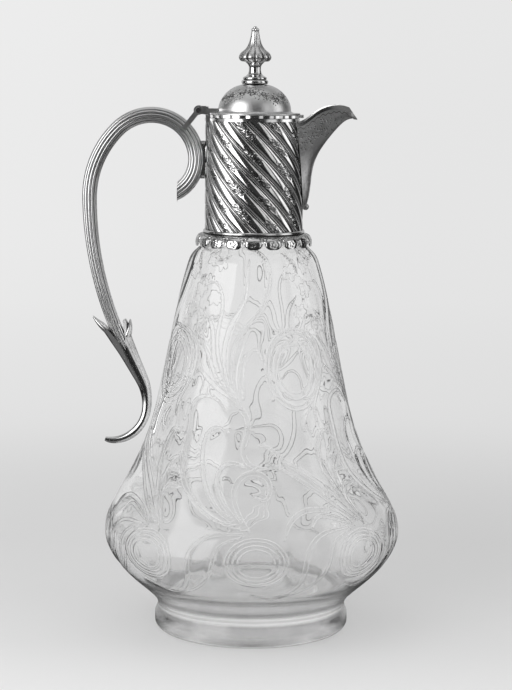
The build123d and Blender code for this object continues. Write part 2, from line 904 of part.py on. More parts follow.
nut_top = dome_top - dome_wall - stud_hole_clearance
with BuildPart() as finial_nut:
    with BuildSketch(Plane.XY.offset(nut_top - nut_height)):
        RegularPolygon(nut_radius, 6)
        Circle(stud_radius, mode=Mode.SUBTRACT)
    extrude(amount=nut_height)
finial_nut.part.label = "finial_nut"
export_step(finial_nut.part, "parts/finial_nut.step")

stud_bottom = nut_top - nut_height - stud_tail
with BuildPart() as finial_stud:
    with BuildSketch(Plane.XY.offset(stud_bottom)):
        Circle(stud_radius)
    extrude(amount=bell_bottom + bell_height * bell_bore_share - stud_end_room - stud_bottom)
finial_stud.part.label = "finial_stud"
export_step(finial_stud.part, "parts/finial_stud.step")
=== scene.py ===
# %% [markdown]
# # A silver-mounted glass claret jug
# The jug is clear glass, carved with scrolls and bull's-eyes, under a spirally fluted silver
# collar with a beak, a reeded handle and a hinged domed lid. The CAD model fixes every size and
# place. This lesson dresses it: carved surfaces worked out as numpy arrays, polished silver that
# is chased and a little tarnished, and glass that bends light through all four of its surfaces.

# %% The frame
import json
import math

import bpy
import numpy as np
from mathutils import Euler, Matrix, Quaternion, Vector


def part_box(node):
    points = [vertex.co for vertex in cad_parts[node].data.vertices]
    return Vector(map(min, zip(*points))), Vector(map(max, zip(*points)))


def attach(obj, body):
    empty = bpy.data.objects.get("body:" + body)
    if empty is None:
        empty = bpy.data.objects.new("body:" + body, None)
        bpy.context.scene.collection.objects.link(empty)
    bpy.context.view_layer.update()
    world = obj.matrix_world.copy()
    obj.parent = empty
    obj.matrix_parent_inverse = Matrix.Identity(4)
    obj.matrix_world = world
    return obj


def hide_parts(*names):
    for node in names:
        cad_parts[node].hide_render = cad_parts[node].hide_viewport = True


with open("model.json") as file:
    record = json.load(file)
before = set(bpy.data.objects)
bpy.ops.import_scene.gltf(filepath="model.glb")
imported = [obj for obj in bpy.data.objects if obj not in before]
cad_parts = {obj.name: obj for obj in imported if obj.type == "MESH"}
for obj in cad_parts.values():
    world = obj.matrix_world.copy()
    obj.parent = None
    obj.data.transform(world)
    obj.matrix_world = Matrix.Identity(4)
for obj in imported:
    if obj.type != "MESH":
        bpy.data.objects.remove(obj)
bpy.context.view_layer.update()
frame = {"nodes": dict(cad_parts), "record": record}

mm = 0.001
print("CAD nodes:", len(frame["nodes"]))

# %% [markdown]
# ## Camera
# The camera stands nearly a metre off, at the height of the lid, and looks down by eight degrees.
# So long a lens keeps upright sides nearly upright. Its focal length is given in pixels of a
# render that is 690 pixels tall, so it holds for a sensor of any size. The camera leans by half
# a degree, as a camera on a tripod easily does.

# %% Camera
camera_place = (1.5 * mm, -942.8 * mm, 272.3 * mm)
camera_tilt = math.radians(8.11)
camera_lean = math.radians(0.45)
render_height = 690
focal_length_in_pixels = 1972
sensor_height = 24.0

camera_data = bpy.data.cameras.new("camera")
camera_data.sensor_fit = "VERTICAL"
camera_data.sensor_height = sensor_height
camera_data.lens = sensor_height * focal_length_in_pixels / render_height
camera_data.clip_start = 50 * mm
camera = bpy.data.objects.new("camera", camera_data)
camera.location = camera_place
level_view = Euler((math.radians(90) - camera_tilt, 0, 0)).to_quaternion()
camera.rotation_euler = (level_view @ Quaternion((0, 0, 1), camera_lean)).to_euler()
bpy.context.scene.collection.objects.link(camera)
bpy.context.scene.camera = camera
bpy.context.scene.view_settings.view_transform = "Standard"
print("lens", round(camera_data.lens, 2), "mm on a sensor", sensor_height, "mm tall")

# %% [markdown]
# ## Helpers for meshes
# Nearly every piece is a grid of points whose rows are closed rings. One helper makes the faces
# between the rows. A second closes the first and the last row with a fan, and a third joins the
# last row to the first. A lathe makes the grid from a profile. All the arithmetic is on whole
# arrays.

# %% From a grid of points to a mesh
def add_mesh(name, points, faces, crease=40.0):
    """A mesh object from points (n, 3) and lists of faces (each an array of m-sided faces).
    Faces are smooth, apart from edges where they turn by more than the crease angle."""
    mesh = bpy.data.meshes.new(name)
    sides = np.concatenate([np.full(len(block), block.shape[1]) for block in faces])
    corners = np.concatenate([block.ravel() for block in faces])
    mesh.vertices.add(len(points))
    mesh.vertices.foreach_set("co", np.asarray(points, np.float32).ravel())
    mesh.loops.add(len(corners))
    mesh.loops.foreach_set("vertex_index", corners.astype(np.int32))
    mesh.polygons.add(len(sides))
    mesh.polygons.foreach_set("loop_start", (np.cumsum(sides) - sides).astype(np.int32))
    mesh.update(calc_edges=True)
    mesh.polygons.foreach_set("use_smooth", np.ones(len(sides), bool))
    mesh.set_sharp_from_angle(angle=math.radians(crease))
    piece = bpy.data.objects.new(name, mesh)
    bpy.context.scene.collection.objects.link(piece)
    return piece


def grid_faces(rows, columns, loop=False):
    """Faces between neighbouring points of a grid whose rows are closed rings. With loop, the
    last row also joins the first. A face runs round the ring first and then up a row."""
    row = np.arange(rows if loop else rows - 1)[:, None]
    column = np.arange(columns)[None, :]
    here = row * columns + column
    beside = row * columns + (column + 1) % columns
    above = (row + 1) % rows * columns
    return np.stack(
        [here, beside, above + (column + 1) % columns, above + column], axis=-1
    ).reshape(-1, 4)


def closed_grid(name, grid, crease):
    """A closed piece from a grid (rows, columns, 3): its first and last rings are each closed
    by a fan to the ring's middle point. Rows run from the bottom up the outside."""
    rows, columns, _ = grid.shape
    points = np.concatenate([grid.reshape(-1, 3), grid[:1].mean(axis=1), grid[-1:].mean(axis=1)])
    column = np.arange(columns)
    beside = (column + 1) % columns
    low, high = rows * columns, rows * columns + 1
    top = (rows - 1) * columns
    bottom_fan = np.stack([np.full(columns, low), beside, column], axis=-1)
    top_fan = np.stack([top + column, top + beside, np.full(columns, high)], axis=-1)
    return add_mesh(name, points, [grid_faces(rows, columns), bottom_fan, top_fan], crease)


def closed_loop(name, grid, crease):
    """A closed piece from a grid whose rows are rings and whose last row joins its first: a
    profile that goes round, turned about the axis."""
    rows, columns, _ = grid.shape
    return add_mesh(name, grid.reshape(-1, 3), [grid_faces(rows, columns, loop=True)], crease)


def set_attribute(piece, name, values):
    """Stores one number per point, for materials to read by name."""
    attribute = piece.data.attributes.new(name, "FLOAT", "POINT")
    attribute.data.foreach_set("value", values.astype(np.float32).ravel())


print("mesh helpers ready")


# %% Curves and turned shapes
def smooth_curve(points, first_way, last_way, count):
    """Curve through points: cubic in each span, with matching slope and curvature where spans
    meet, the chord's length as its parameter, and a given direction at each end."""
    points = np.asarray(points, float)
    first_way = np.asarray(first_way, float) / np.hypot(*first_way)
    last_way = np.asarray(last_way, float) / np.hypot(*last_way)
    span = np.hypot(*np.diff(points, axis=0).T)
    at = np.concatenate([[0], np.cumsum(span)])
    n = len(points)
    system = np.eye(n)
    wanted = np.zeros((n, 2))
    wanted[0], wanted[-1] = first_way, last_way
    for i in range(1, n - 1):
        system[i, i - 1 : i + 2] = span[i], 2 * (span[i - 1] + span[i]), span[i - 1]
        slopes = np.diff(points[i - 1 : i + 2], axis=0) / span[i - 1 : i + 1, None]
        wanted[i] = 3 * (span[i] * slopes[0] + span[i - 1] * slopes[1])
    ways = np.linalg.solve(system, wanted)
    t = np.linspace(0, at[-1], count)
    i = np.clip(np.searchsorted(at, t, side="right") - 1, 0, n - 2)
    h = span[i][:, None]
    u = ((t - at[i]) / span[i])[:, None]
    return (
        (2 * u**3 - 3 * u**2 + 1) * points[i]
        + (u**3 - 2 * u**2 + u) * h * ways[i]
        + (3 * u**2 - 2 * u**3) * points[i + 1]
        + (u**3 - u**2) * h * ways[i + 1]
    )


def bezier(a, b, c, d, count):
    """Cubic Bezier curve: a and d are its ends, and it leaves a towards b and comes to d from c."""
    u = np.linspace(0, 1, count)[:, None]
    a, b, c, d = (np.asarray(p, float) for p in (a, b, c, d))
    return (1 - u) ** 3 * a + 3 * u * (1 - u) ** 2 * b + 3 * u**2 * (1 - u) * c + u**3 * d


def arc(centre, radius, start, end, count):
    """Arc round a centre, from one angle to another in degrees."""
    a = np.radians(np.linspace(start, end, count))
    return np.stack([centre[0] + radius * np.cos(a), centre[1] + radius * np.sin(a)], axis=-1)


def run_of(points):
    """Distance along a line of points from its first point to each."""
    return np.concatenate([[0], np.cumsum(np.linalg.norm(np.diff(points, axis=0), axis=1))])


def places_along(points, stations):
    """Points of a line at given distances along it."""
    run = run_of(points)
    return np.stack([np.interp(stations, run, column) for column in points.T], axis=-1)


def normals_of(points):
    """Unit normals of a line in a plane, on the right-hand side of its direction: outwards for a
    profile (radius, height) that runs up the outside."""
    way = np.gradient(points, axis=0)
    way /= np.linalg.norm(way, axis=1, keepdims=True)
    return np.stack([way[:, 1], -way[:, 0]], axis=-1)


def round_axis(radius, azimuth, height):
    """Points (radius sin azimuth, -radius cos azimuth, height): azimuth 0 is the front and 90
    degrees is the spout's side."""
    return np.stack(
        [radius * np.sin(azimuth), -radius * np.cos(azimuth), height + 0 * azimuth], axis=-1
    )


def turned(profile, azimuth, sink):
    """Grid of points, in metres, of a profile (radius, height) in mm that is turned about the
    axis. Sink moves each point into the surface, along its normal, by mm."""
    normal = normals_of(profile)
    radius = profile[:, :1] - sink * normal[:, :1]
    height = profile[:, 1:] - sink * normal[:, 1:]
    return mm * round_axis(radius, azimuth, height)


def full_turn(columns):
    """Azimuths of evenly spaced columns, in radians."""
    return np.radians(np.arange(columns) * 360 / columns)


def smooth_step(x, low, high):
    """0 below low, 1 above high, and an S-shaped rise between."""
    u = np.clip((x - low) / (high - low), 0, 1)
    return u * u * (3 - 2 * u)


print("curve helpers ready")

# %% [markdown]
# ## Node helpers
# Materials are node trees. A tree is easier to read as nested calls than as a picture, so one
# helper adds a node, sets its plain values and links whatever sockets it is given.

# %% Node helpers
def node(tree, kind, inputs=None, **settings):
    """Adds a node to a tree. Inputs are plain values or output sockets, by socket name or
    number; settings are the node's own properties."""
    made = tree.nodes.new(kind)
    for name, value in settings.items():
        setattr(made, name, value)
    for name, value in (inputs or {}).items():
        if isinstance(value, bpy.types.NodeSocket):
            tree.links.new(value, made.inputs[name])
        else:
            made.inputs[name].default_value = value
    return made


def calc(tree, operation, a, b=0.0, c=0.0, clamp=False):
    """A Math node's result: operation applied to a, b and c."""
    return node(
        tree, "ShaderNodeMath", {0: a, 1: b, 2: c}, operation=operation, use_clamp=clamp
    ).outputs[0]


def blend(tree, share, a, b):
    """Colour a where share is 0 and colour b where it is 1. A Mix node has one set of sockets
    for each kind of data: the colours are inputs 6 and 7 and output 2."""
    return node(tree, "ShaderNodeMix", {0: share, 6: a, 7: b}, data_type="RGBA").outputs[2]


def grey(level):
    """A neutral colour."""
    return (level, level, level, 1.0)


def ramp(tree, value, stops):
    """A grey level read off a list of (place, level) stops."""
    made = node(tree, "ShaderNodeValToRGB", {"Fac": value})
    elements = made.color_ramp.elements
    for _ in stops[2:]:
        elements.new(0.5)
    for element, (place, level) in zip(elements, stops):
        element.position = place
        element.color = grey(level)
    return made.outputs["Color"]


def stretch(tree, value, low, high, to_low=0.0, to_high=1.0):
    """Carries a value from one range to another, stopped at the ends, with an S-shaped rise."""
    return node(
        tree, "ShaderNodeMapRange",
        {"Value": value, "From Min": low, "From Max": high, "To Min": to_low, "To Max": to_high},
        interpolation_type="SMOOTHSTEP",
    ).outputs["Result"]


def line_at(tree, value, level, width):
    """1 where a value equals a level, falling to 0 within a width on both sides."""
    off = calc(tree, "ABSOLUTE", calc(tree, "SUBTRACT", value, level))
    return stretch(tree, off, 0.0, width, 1.0, 0.0)


def stored(tree, name):
    """A value stored on the mesh."""
    return node(tree, "ShaderNodeAttribute", attribute_name=name).outputs["Fac"]


def object_place(tree):
    """Places in the object's own metres."""
    return node(tree, "ShaderNodeTexCoord").outputs["Object"]


def noise(tree, place, scale, detail, roughness=0.5):
    """Cloudy noise between 0 and 1, with blots about 1 / scale metres wide."""
    return node(tree, "ShaderNodeTexNoise", {
        "Vector": place, "Scale": scale, "Detail": detail, "Roughness": roughness,
    }).outputs["Fac"]


def bumped(tree, height, distance):
    """The normal of a surface that a height lifts by up to a distance in metres."""
    return node(tree, "ShaderNodeBump", {"Height": height, "Distance": distance}).outputs["Normal"]


def empty_tree(owner):
    """Gives a material or a world an empty node tree."""
    owner.use_nodes = True
    owner.node_tree.nodes.clear()
    return owner.node_tree


def new_material(name):
    """A material with an empty node tree, and that tree."""
    material = bpy.data.materials.new(name)
    return material, empty_tree(material)


def set_surface(tree, shader, kind="ShaderNodeOutputMaterial"):
    """Makes a shader the result of its tree."""
    tree.links.new(shader.outputs[0], node(tree, kind).inputs["Surface"])


print("node helpers ready")

# %% [markdown]
# ## Studio
# Silver shows nothing but its surroundings, and so does clear glass, so the studio is designed as
# carefully as the jug. The floor runs back into a curved pale sweep. Near the jug it is plain
# matt card that takes the shadow. Further out it only has to be seen, so it glows. Both carry
# painted light in their colour: darkest just behind the jug, paler towards the front and up the
# sweep, and a little brighter on the left. Neither shows in the silver, which reflects the
# painted world instead.

# %% Floor and sweep: their finish
floor_radius = 0.62
sweep_radius = 2.6
sweep_curve = 0.6
sweep_height = 2.4
matt_radius = 0.24
# Painted light along the depth: the level dips just behind the jug and rises towards the front and
# up the sweep.
backdrop_light_levels = [
    (-0.16, 0.845), (-0.085, 0.79), (-0.037, 0.745), (0.05, 0.71), (0.17, 0.685), (0.37, 0.71),
    (0.65, 0.745), (1.34, 0.785), (2.6, 0.80), (3.2, 0.82), (4.4, 0.86),
]


def lit_backdrop_colour(tree):
    """The backdrop's level along its depth, the distance back plus the height up the sweep, as
    painted light: it dips just behind the jug, and the left side is a little brighter.
    """
    place = node(tree, "ShaderNodeSeparateXYZ", {"Vector": object_place(tree)})
    depth = calc(tree, "ADD", place.outputs["Y"], place.outputs["Z"])
    low, high = backdrop_light_levels[0][0], backdrop_light_levels[-1][0]
    share = node(tree, "ShaderNodeMapRange", {"Value": depth, "From Min": low, "From Max": high})
    level = ramp(tree, share.outputs["Result"], [
        ((at - low) / (high - low), value) for at, value in backdrop_light_levels
    ])
    # Painted light: the left side, where the key lamp stands, is a little brighter.
    left = stretch(tree, place.outputs["X"], -0.5, 0.3, 1.04, 0.985)
    return node(tree, "ShaderNodeVectorMath", {0: level, 1: left}, operation="MULTIPLY").outputs[0]


sweep_material, tree = new_material("backdrop")
set_surface(tree, node(tree, "ShaderNodeEmission", {"Color": lit_backdrop_colour(tree)}))

floor_material, tree = new_material("floor")
# The floor's colour carries the same painted light as the backdrop.
colour = lit_backdrop_colour(tree)
card = node(tree, "ShaderNodeBsdfDiffuse", {"Color": colour})
glow = node(tree, "ShaderNodeEmission", {"Color": colour})
out_from_jug = node(tree, "ShaderNodeVectorMath", {0: object_place(tree)}, operation="LENGTH")
away = stretch(tree, out_from_jug.outputs["Value"], matt_radius, floor_radius * 0.97)
set_surface(tree, node(tree, "ShaderNodeMixShader", {
    0: away, 1: card.outputs[0], 2: glow.outputs[0],
}))
print("floor and sweep materials ready")


# %% Floor and sweep: the sheets
sheet_columns = 96


def stage_sheet(name, line, material):
    """A sheet for the studio: a line of (radius, height) in metres, turned about the axis."""
    azimuth = full_turn(sheet_columns)
    line = np.asarray(line)
    grid = np.stack([
        line[:, :1] * np.cos(azimuth), line[:, :1] * np.sin(azimuth),
        line[:, 1:] + 0 * azimuth,
    ], axis=-1)
    faces = grid_faces(len(line), sheet_columns)[:, ::-1]
    sheet = add_mesh(name, grid.reshape(-1, 3), [faces])
    sheet.data.materials.append(material)
    sheet.visible_glossy = False
    return sheet


stage_sheet("floor", [(0.0002, 0), (0.1, 0), (0.3, 0), (floor_radius, 0)], floor_material)
corner = arc((sweep_radius - sweep_curve, sweep_curve), sweep_curve, -90, 0, 16)
sweep = stage_sheet(
    "sweep", [(floor_radius, 0), (1.2, 0), *corner, (sweep_radius, sweep_height)], sweep_material
)
sweep.visible_diffuse = False
sweep.visible_shadow = False
print("floor", floor_radius, "m, sweep", sweep_radius, "m")

# %% [markdown]
# ## World and lamps
# The world has one level for matt surfaces and others for what is seen past the sweep and through
# the glass. For reflections it is painted, as a list of azimuths, counted from the front round to
# the right, with the level there: a broad bright softbox at the front left, a dark front, two
# paler boxes at the right, and dark gaps between them, which give the silver its streaks. Bands
# of height then set the level low down, where the table would be, and high up. Two soft lamps
# light the matt surfaces only, so they show in no reflection.

# %% World
matt_level = 0.75
camera_level = 0.84
seen_through_level = 0.80
seen_overhead_level = 0.42
studio_levels = [
    (-180, 0.50), (-128, 0.50), (-118, 0.02), (-96, 0.02), (-90, 0.30), (-74, 0.35), (-70, 2.80),
    (-31, 2.80), (-27, 0.04), (26, 0.04), (31, 0.75), (50, 0.75), (55, 0.06), (64, 0.06),
    (70, 1.30), (92, 1.30), (97, 0.02), (132, 0.02), (142, 0.50), (180, 0.50),
]
brightest = 3.0
height_bands = [
    (-0.22, -0.30, 0.02), (-0.48, -0.60, 0.16), (0.60, 0.68, 0.26), (0.84, 0.93, 0.62),
]

world = bpy.data.worlds.new("studio")
world.cycles.sampling_method = "NONE"
tree = empty_tree(world)
direction = node(tree, "ShaderNodeSeparateXYZ", {
    "Vector": node(tree, "ShaderNodeTexCoord").outputs["Generated"],
})
toward_front = calc(tree, "MULTIPLY", direction.outputs["Y"], -1.0)
azimuth = calc(tree, "ARCTAN2", direction.outputs["X"], toward_front)
turn = calc(tree, "MULTIPLY_ADD", azimuth, 0.5 / math.pi, 0.5)
painted = ramp(tree, turn, [((a + 180) / 360, level / brightest) for a, level in studio_levels])
painted = node(
    tree, "ShaderNodeVectorMath", {0: painted, "Scale": brightest}, operation="SCALE"
).outputs[0]
for start, end, level in height_bands:
    beyond = stretch(tree, direction.outputs["Z"], start, end)
    painted = blend(tree, beyond, painted, grey(level))
above = stretch(tree, direction.outputs["Z"], 0.55, 0.8)
seen_through = blend(tree, above, grey(seen_through_level), grey(seen_overhead_level))
path = node(tree, "ShaderNodeLightPath").outputs
level = blend(tree, path["Is Glossy Ray"], grey(matt_level), painted)
level = blend(tree, path["Is Transmission Ray"], level, seen_through)
level = blend(tree, path["Is Camera Ray"], level, grey(camera_level))
set_surface(tree, node(tree, "ShaderNodeBackground", {"Color": level}), "ShaderNodeOutputWorld")
bpy.context.scene.world = world
print("world:", len(studio_levels), "levels round the jug,", len(height_bands), "bands of height")


# %% Lamps
lamp_target = 0.15


def add_softbox(name, azimuth, elevation, distance, size, power):
    """A square lamp that faces the middle of the jug, placed by its azimuth from the front."""
    data = bpy.data.lights.new(name, "AREA")
    data.shape = "SQUARE"
    data.size = size
    data.energy = power
    lamp = bpy.data.objects.new(name, data)
    a, e = math.radians(azimuth), math.radians(elevation)
    lamp.location = (
        distance * math.sin(a) * math.cos(e), -distance * math.cos(a) * math.cos(e),
        lamp_target + distance * math.sin(e),
    )
    lamp.rotation_euler = (math.radians(90) - e, 0, a)
    lamp.visible_glossy = False
    lamp.visible_transmission = False
    bpy.context.scene.collection.objects.link(lamp)
    print(name, "lamp:", size, "m wide,", power, "W")


add_softbox("key", azimuth=-45, elevation=38, distance=1.2, size=0.8, power=5.0)
add_softbox("fill", azimuth=70, elevation=30, distance=1.4, size=1.0, power=2.0)

# %% [markdown]
# ## Chasing
# A chaser draws on silver with small punches. The pattern here is a sprig: a flower of five
# petals with leaves on both sides, laid along the piece it decorates. For each point the sprig
# gives the distance past its nearest outline. The outline is punched in as a fine groove, and
# the material darkens it, because polish never reaches the bottom of a groove. The distance is
# kept on the mesh for the material, with a large one where there is nothing chased.

# %% A chased sprig
groove_width = 0.24
flower_radius = 1.5
no_mark = 9.0
sprig_leaves = [
    (2.6, 0.9, 2.4, 1.1, 35), (2.9, -0.8, 2.2, 1.0, -30), (4.9, 0.2, 2.6, 1.0, 5),
    (-2.6, -0.9, 2.4, 1.1, 35), (-2.9, 0.8, 2.2, 1.0, -30), (-4.9, -0.2, 2.6, 1.0, 5),
]


def petals(u, v, count, radius):
    """Distance past the outline of a flower: its radius swings between the petals' tips and the
    notches between them, as the cosine of the angle taken count times."""
    lobes = np.abs(np.cos(count / 2 * np.arctan2(v, u)))
    return np.hypot(u, v) - radius * (0.5 + 0.5 * lobes)


def leaf_outline(u, v, place_u, place_v, length, breadth, turn):
    """Distance past the outline of an oval leaf, turned by an angle in degrees: how far out a
    point is, as a share of the oval, less 1, times half the breadth."""
    c, s = math.cos(math.radians(turn)), math.sin(math.radians(turn))
    along = (u - place_u) * c + (v - place_v) * s
    across = (v - place_v) * c - (u - place_u) * s
    return (np.hypot(2 * along / length, 2 * across / breadth) - 1) * breadth / 2


def sprig(u, v, size=1.0):
    """Distance past the outlines of a sprig laid along u, in mm."""
    u, v = u / size, v / size
    leaves = [leaf_outline(u, v, *leaf) for leaf in sprig_leaves]
    return size * np.minimum.reduce([petals(u, v, 5, flower_radius), *leaves])


def punched(edge, depth):
    """Depth of the fine groove along an outline: a bell curve of the distance from it."""
    return depth * np.exp(-((edge / groove_width) ** 2))


def store_marks(piece, name, shape, rows, distance):
    """Stores a distance in mm on some rows of a piece's grid, and no_mark on its other rows."""
    whole = np.full(shape, no_mark)
    whole[rows] = np.clip(distance, -3, no_mark)
    set_attribute(piece, name, whole)


sprig_end = max(u + length / 2 for u, _, length, _, _ in sprig_leaves)
print("a sprig is about", round(2 * sprig_end, 1), "mm long")

# %% [markdown]
# ## The glass: outline
# The blown body was cut on a wheel, so it is one thick shell: a foot with a hollow under it, a
# waist, a low bulge and a long cone. The outline has few points and is smooth between them. The
# hollow follows the outside at the thickness of the wall, with a flatter floor.

# %% Outline of the glass
foot_radius = 47.1
foot_rounding = 3.0
foot_side_height = 6.0
foot_flat = 7.0
recess_depth = 2.4
recess_slope = 3.0
waist = (45.7, 10.8)
outside_points = [
    waist, (50.9, 19.2), (62.2, 29.6), (71.7, 49.5), (67.4, 61.5),
    (57.5, 80.0), (49.4, 100.0), (44.4, 120.0), (36.1, 160.0), (31.1, 179.0),
]
shoulder_lean = np.array([-0.31, 0.95])
shoulder_reach = 9.0
neck_radius = 19.6
neck_bore = 15.6
neck_root = 193.4
neck_top = 205.0
neck_flare = 6.5
lip_rounding = 1.2
wall = 4.0
floor_height = 16.5
glass_columns = 384
fine_points = 400

recess_edge = foot_radius - foot_rounding - foot_flat
foot_centre = (foot_radius - foot_rounding, foot_rounding)
underside = np.array([
    (2.0, recess_depth), (recess_edge - recess_slope - 1, recess_depth),
    (recess_edge - recess_slope, recess_depth), (recess_edge, 0.0), (foot_centre[0], 0.0),
])
foot_edge = arc(foot_centre, foot_rounding, -75, 0, 6)
foot_side = np.array([(foot_radius, foot_side_height)])
to_waist = smooth_curve([(foot_radius, foot_side_height), waist], (0, 1), (0, 1), 7)[1:-1]
outside = smooth_curve(outside_points, (0, 1), shoulder_lean, 2000)
over_shoulder = bezier(
    outside_points[-1], outside_points[-1] + shoulder_lean * shoulder_reach,
    (neck_radius, neck_root - neck_flare), (neck_radius, neck_root), fine_points,
)
carved = np.concatenate([outside, over_shoulder[1:]])
carved_length = run_of(carved)[-1]
print("carved line:", round(carved_length, 1), "mm long")

# %% Rows of the glass
carved_rows = 180
fine = np.linspace(0, 1, fine_points)
row_spacing = np.interp(fine, [0, 0.1, 0.14, 0.5, 1], [1, 1, 1, 1.05, 1.35])
stations = np.interp(
    np.linspace(0, 1, carved_rows), fine, np.cumsum(row_spacing) - row_spacing[0]
)
carved = places_along(carved, stations / stations[-1] * carved_length)
lip_out, lip_in = neck_radius - lip_rounding, neck_bore + lip_rounding
lip_height = neck_top - lip_rounding
lip = np.concatenate([
    [(neck_radius, lip_height)],
    arc((lip_out, lip_height), lip_rounding, 0, 90, 5)[1:],
    arc((lip_in, lip_height), lip_rounding, 90, 180, 5),
])
thick = outside - wall * normals_of(outside)
inner_shoulder = thick[-1]
inside_down = bezier(
    (neck_bore, neck_root), (neck_bore, neck_root - neck_flare),
    inner_shoulder + shoulder_lean * shoulder_reach, inner_shoulder, 14,
)
inner_marks = thick[(np.array([0.8, 0.6, 0.4, 0.25, 0.12]) * (len(thick) - 1)).astype(int)]
inside = smooth_curve(
    [
        inner_shoulder, *inner_marks, (waist[0] - wall, floor_height + wall),
        (waist[0] / 2, floor_height), (2.0, floor_height),
    ],
    -shoulder_lean, (-1, 0), 38,
)
glass_profile = np.concatenate([
    underside, foot_edge, foot_side, to_waist, carved, lip, inside_down, inside[1:],
])
first_carved = len(underside) + len(foot_edge) + len(foot_side) + len(to_waist)
print("glass rows:", len(glass_profile), "of which", carved_rows, "carry the cuts")

# %% [markdown]
# ## The glass: engraving
# The wheel leaves curved cuts with one steep and one gentle side. Each stroke of the pattern is a
# few points, as azimuth in degrees and height in mm, and the whole pattern repeats four times
# round the body. Wave bands repeat eight times. For every point of the surface, the distance to
# the nearest stroke comes from the gaps in azimuth (times the radius there) and in length along
# the outline. Cuts sink the surface by a depth that depends on that distance. The same distance
# is kept for the material, which draws the crisp edges that are finer than the mesh.

# %% Strokes of the engraving
tile_count = 4
tile = 360.0 / tile_count
scroll_strokes = [
    [(-1.5, 62), (-14.8, 66), (-26.5, 73.4), (-35.1, 83.3), (-37.7, 95.2), (-37.9, 107.7),
     (-37.1, 115.8), (-30.5, 119.4), (-22, 118.5), (-15.2, 113.2)],
    [(-2.4, 62.4), (-13.1, 69.3), (-20.1, 77.2), (-24.7, 86.5), (-26.6, 96.3), (-24.9, 103.1),
     (-19.6, 106), (-12.9, 103.7)],
    [(-2.4, 62.4), (-10.7, 71), (-15.6, 78.6), (-16.6, 84.9), (-14, 89.2), (-8.4, 90.3),
     (-2.7, 88.5)],
    [(-0.5, 61.4), (-5.2, 68.6), (-7.8, 75.8), (-6.6, 82.2), (-0.8, 86), (6.3, 84.4),
     (8.6, 79), (5.9, 74.7), (1.5, 75.8)],
    [(51.2, 60.1), (44.7, 71.7), (39.1, 83.3), (36.6, 93.6), (40.3, 101.1), (47.7, 104.3)],
    [(49.6, 63.2), (39.9, 74.5), (25.3, 85.7), (14.5, 92.8), (8.2, 97.4), (3.6, 98.5)],
    [(45.2, 60.7), (39.1, 66), (30, 69.3), (21.7, 69), (15.5, 64.2), (12.6, 57.5)],
    [(15.6, 150.3), (37, 148.7), (47.9, 143.1), (49.7, 132.6), (42.3, 119.2), (39.5, 112.6),
     (40.5, 108.8)],
    [(-5.6, 111.8), (-10.3, 117.9), (-20, 122.6), (-31.3, 128.8), (-40.5, 134)],
    [(-12.7, 120.7), (-21.7, 129.4), (-27.6, 141.7), (-32.4, 154), (-39.3, 158.5)],
    [(-11.6, 119.6), (-17.2, 129.6), (-18.7, 144.3), (-13, 155.9), (-6.2, 165.1), (-4.6, 178.7)],
    [(-8, 117.4), (-10.6, 127.5), (-8.4, 140.1), (-3.4, 149.2)],
    [(-10.3, 118.5), (-4.1, 111.8), (-2.2, 104), (-4.3, 97.4), (-3.2, 91.9), (1.6, 88.7),
     (7.7, 88.1)],
]
leaf_strokes = [
    [(51.3, 61.7), (46.2, 71.4), (44.4, 80.5), (44.9, 87.1), (48.8, 91.1)],
    [(47.6, 62.4), (38.2, 70.4), (26.7, 80.2), (11.6, 89.6)],
    [(43, 62.1), (35, 65.5), (28, 66.3), (24.7, 62.2)],
    [(33.8, 111.9), (30.4, 106.4), (31.5, 103.5)],
    [(-11.9, 119.5), (-20.3, 124.9), (-27.5, 133.7), (-33.8, 141.3), (-40.5, 146.7)],
    [(-12.2, 120.1), (-20.2, 131.7), (-25.1, 147.5), (-23.4, 159), (-25.7, 167.5),
     (-32.5, 171.6), (-39.3, 171)],
    [(-10, 118.5), (-13.4, 129.7), (-11.7, 144.5), (-5.5, 151.5), (2.4, 156.6), (9.5, 165.1),
     (13, 173), (12.5, 180.9), (1.5, 186.1), (-20.6, 186.7)],
    [(-5.8, 118.6), (-6.3, 129.9), (-3.1, 139), (1.5, 141.7), (6.1, 136.8)],
    [(-35.5, 84.3), (-43.8, 85), (-48.1, 80.2)],
    [(-33.8, 78), (-41.5, 77.5), (-43.6, 73.4)],
    [(-41.3, 101.6), (-47.9, 103.2), (-52.6, 94.5), (-53, 84.2)],
]
wave_strokes = [
    [(41.7, 60.7), (27.2, 58.5), (21.3, 50.4), (20.4, 42), (17, 33.4), (8.7, 29.4), (-0.3, 31.2)],
]
wave_edges = [
    [(42, 59.6), (33.1, 55), (29.9, 43.9), (25.8, 36.6), (18.6, 31.4), (10.3, 29.8)],
]
curl_strokes = [
    [(-12, 188.4), (-2, 187.2), (6, 184.8), (11, 182), (14, 179.2)],
    [(-42, 184.5), (-35, 182.0), (-28, 181.8), (-21, 183.6)],
    [(28, 184.8), (34, 181.8), (38, 178.4), (39, 175)],
]
rosettes = [(32, 176, 4.2), (45, 168, 4.0), (38, 158, 3.6), (52, 182, 3.6), (50, 152, 3.2)]
all_strokes = scroll_strokes + leaf_strokes + wave_strokes + wave_edges + curl_strokes
print("strokes:", len(all_strokes), "on", sum(map(len, all_strokes)), "points")


# %% Distances to the strokes
def stroke_samples(points, spacing=0.5):
    """Points along a smooth curve through the stroke's points, spacing mm apart, as rows of
    azimuth in degrees, length along the outline, and the direction there in mm."""
    azimuth, height = np.array(points, float).T
    along = np.interp(height, carved[:, 1], run_of(carved))
    radius = np.interp(height, carved[:, 1], carved[:, 0])
    flat = np.stack([np.radians(azimuth) * radius.mean(), along], axis=-1)
    start, end = flat[1] - flat[0], flat[-1] - flat[-2]
    curve = smooth_curve(flat, start, end, max(int(run_of(flat)[-1] / spacing), 8))
    way = np.gradient(curve, axis=0)
    way /= np.linalg.norm(way, axis=1, keepdims=True)
    return np.degrees(curve[:, 0] / radius.mean()), curve[:, 1], way


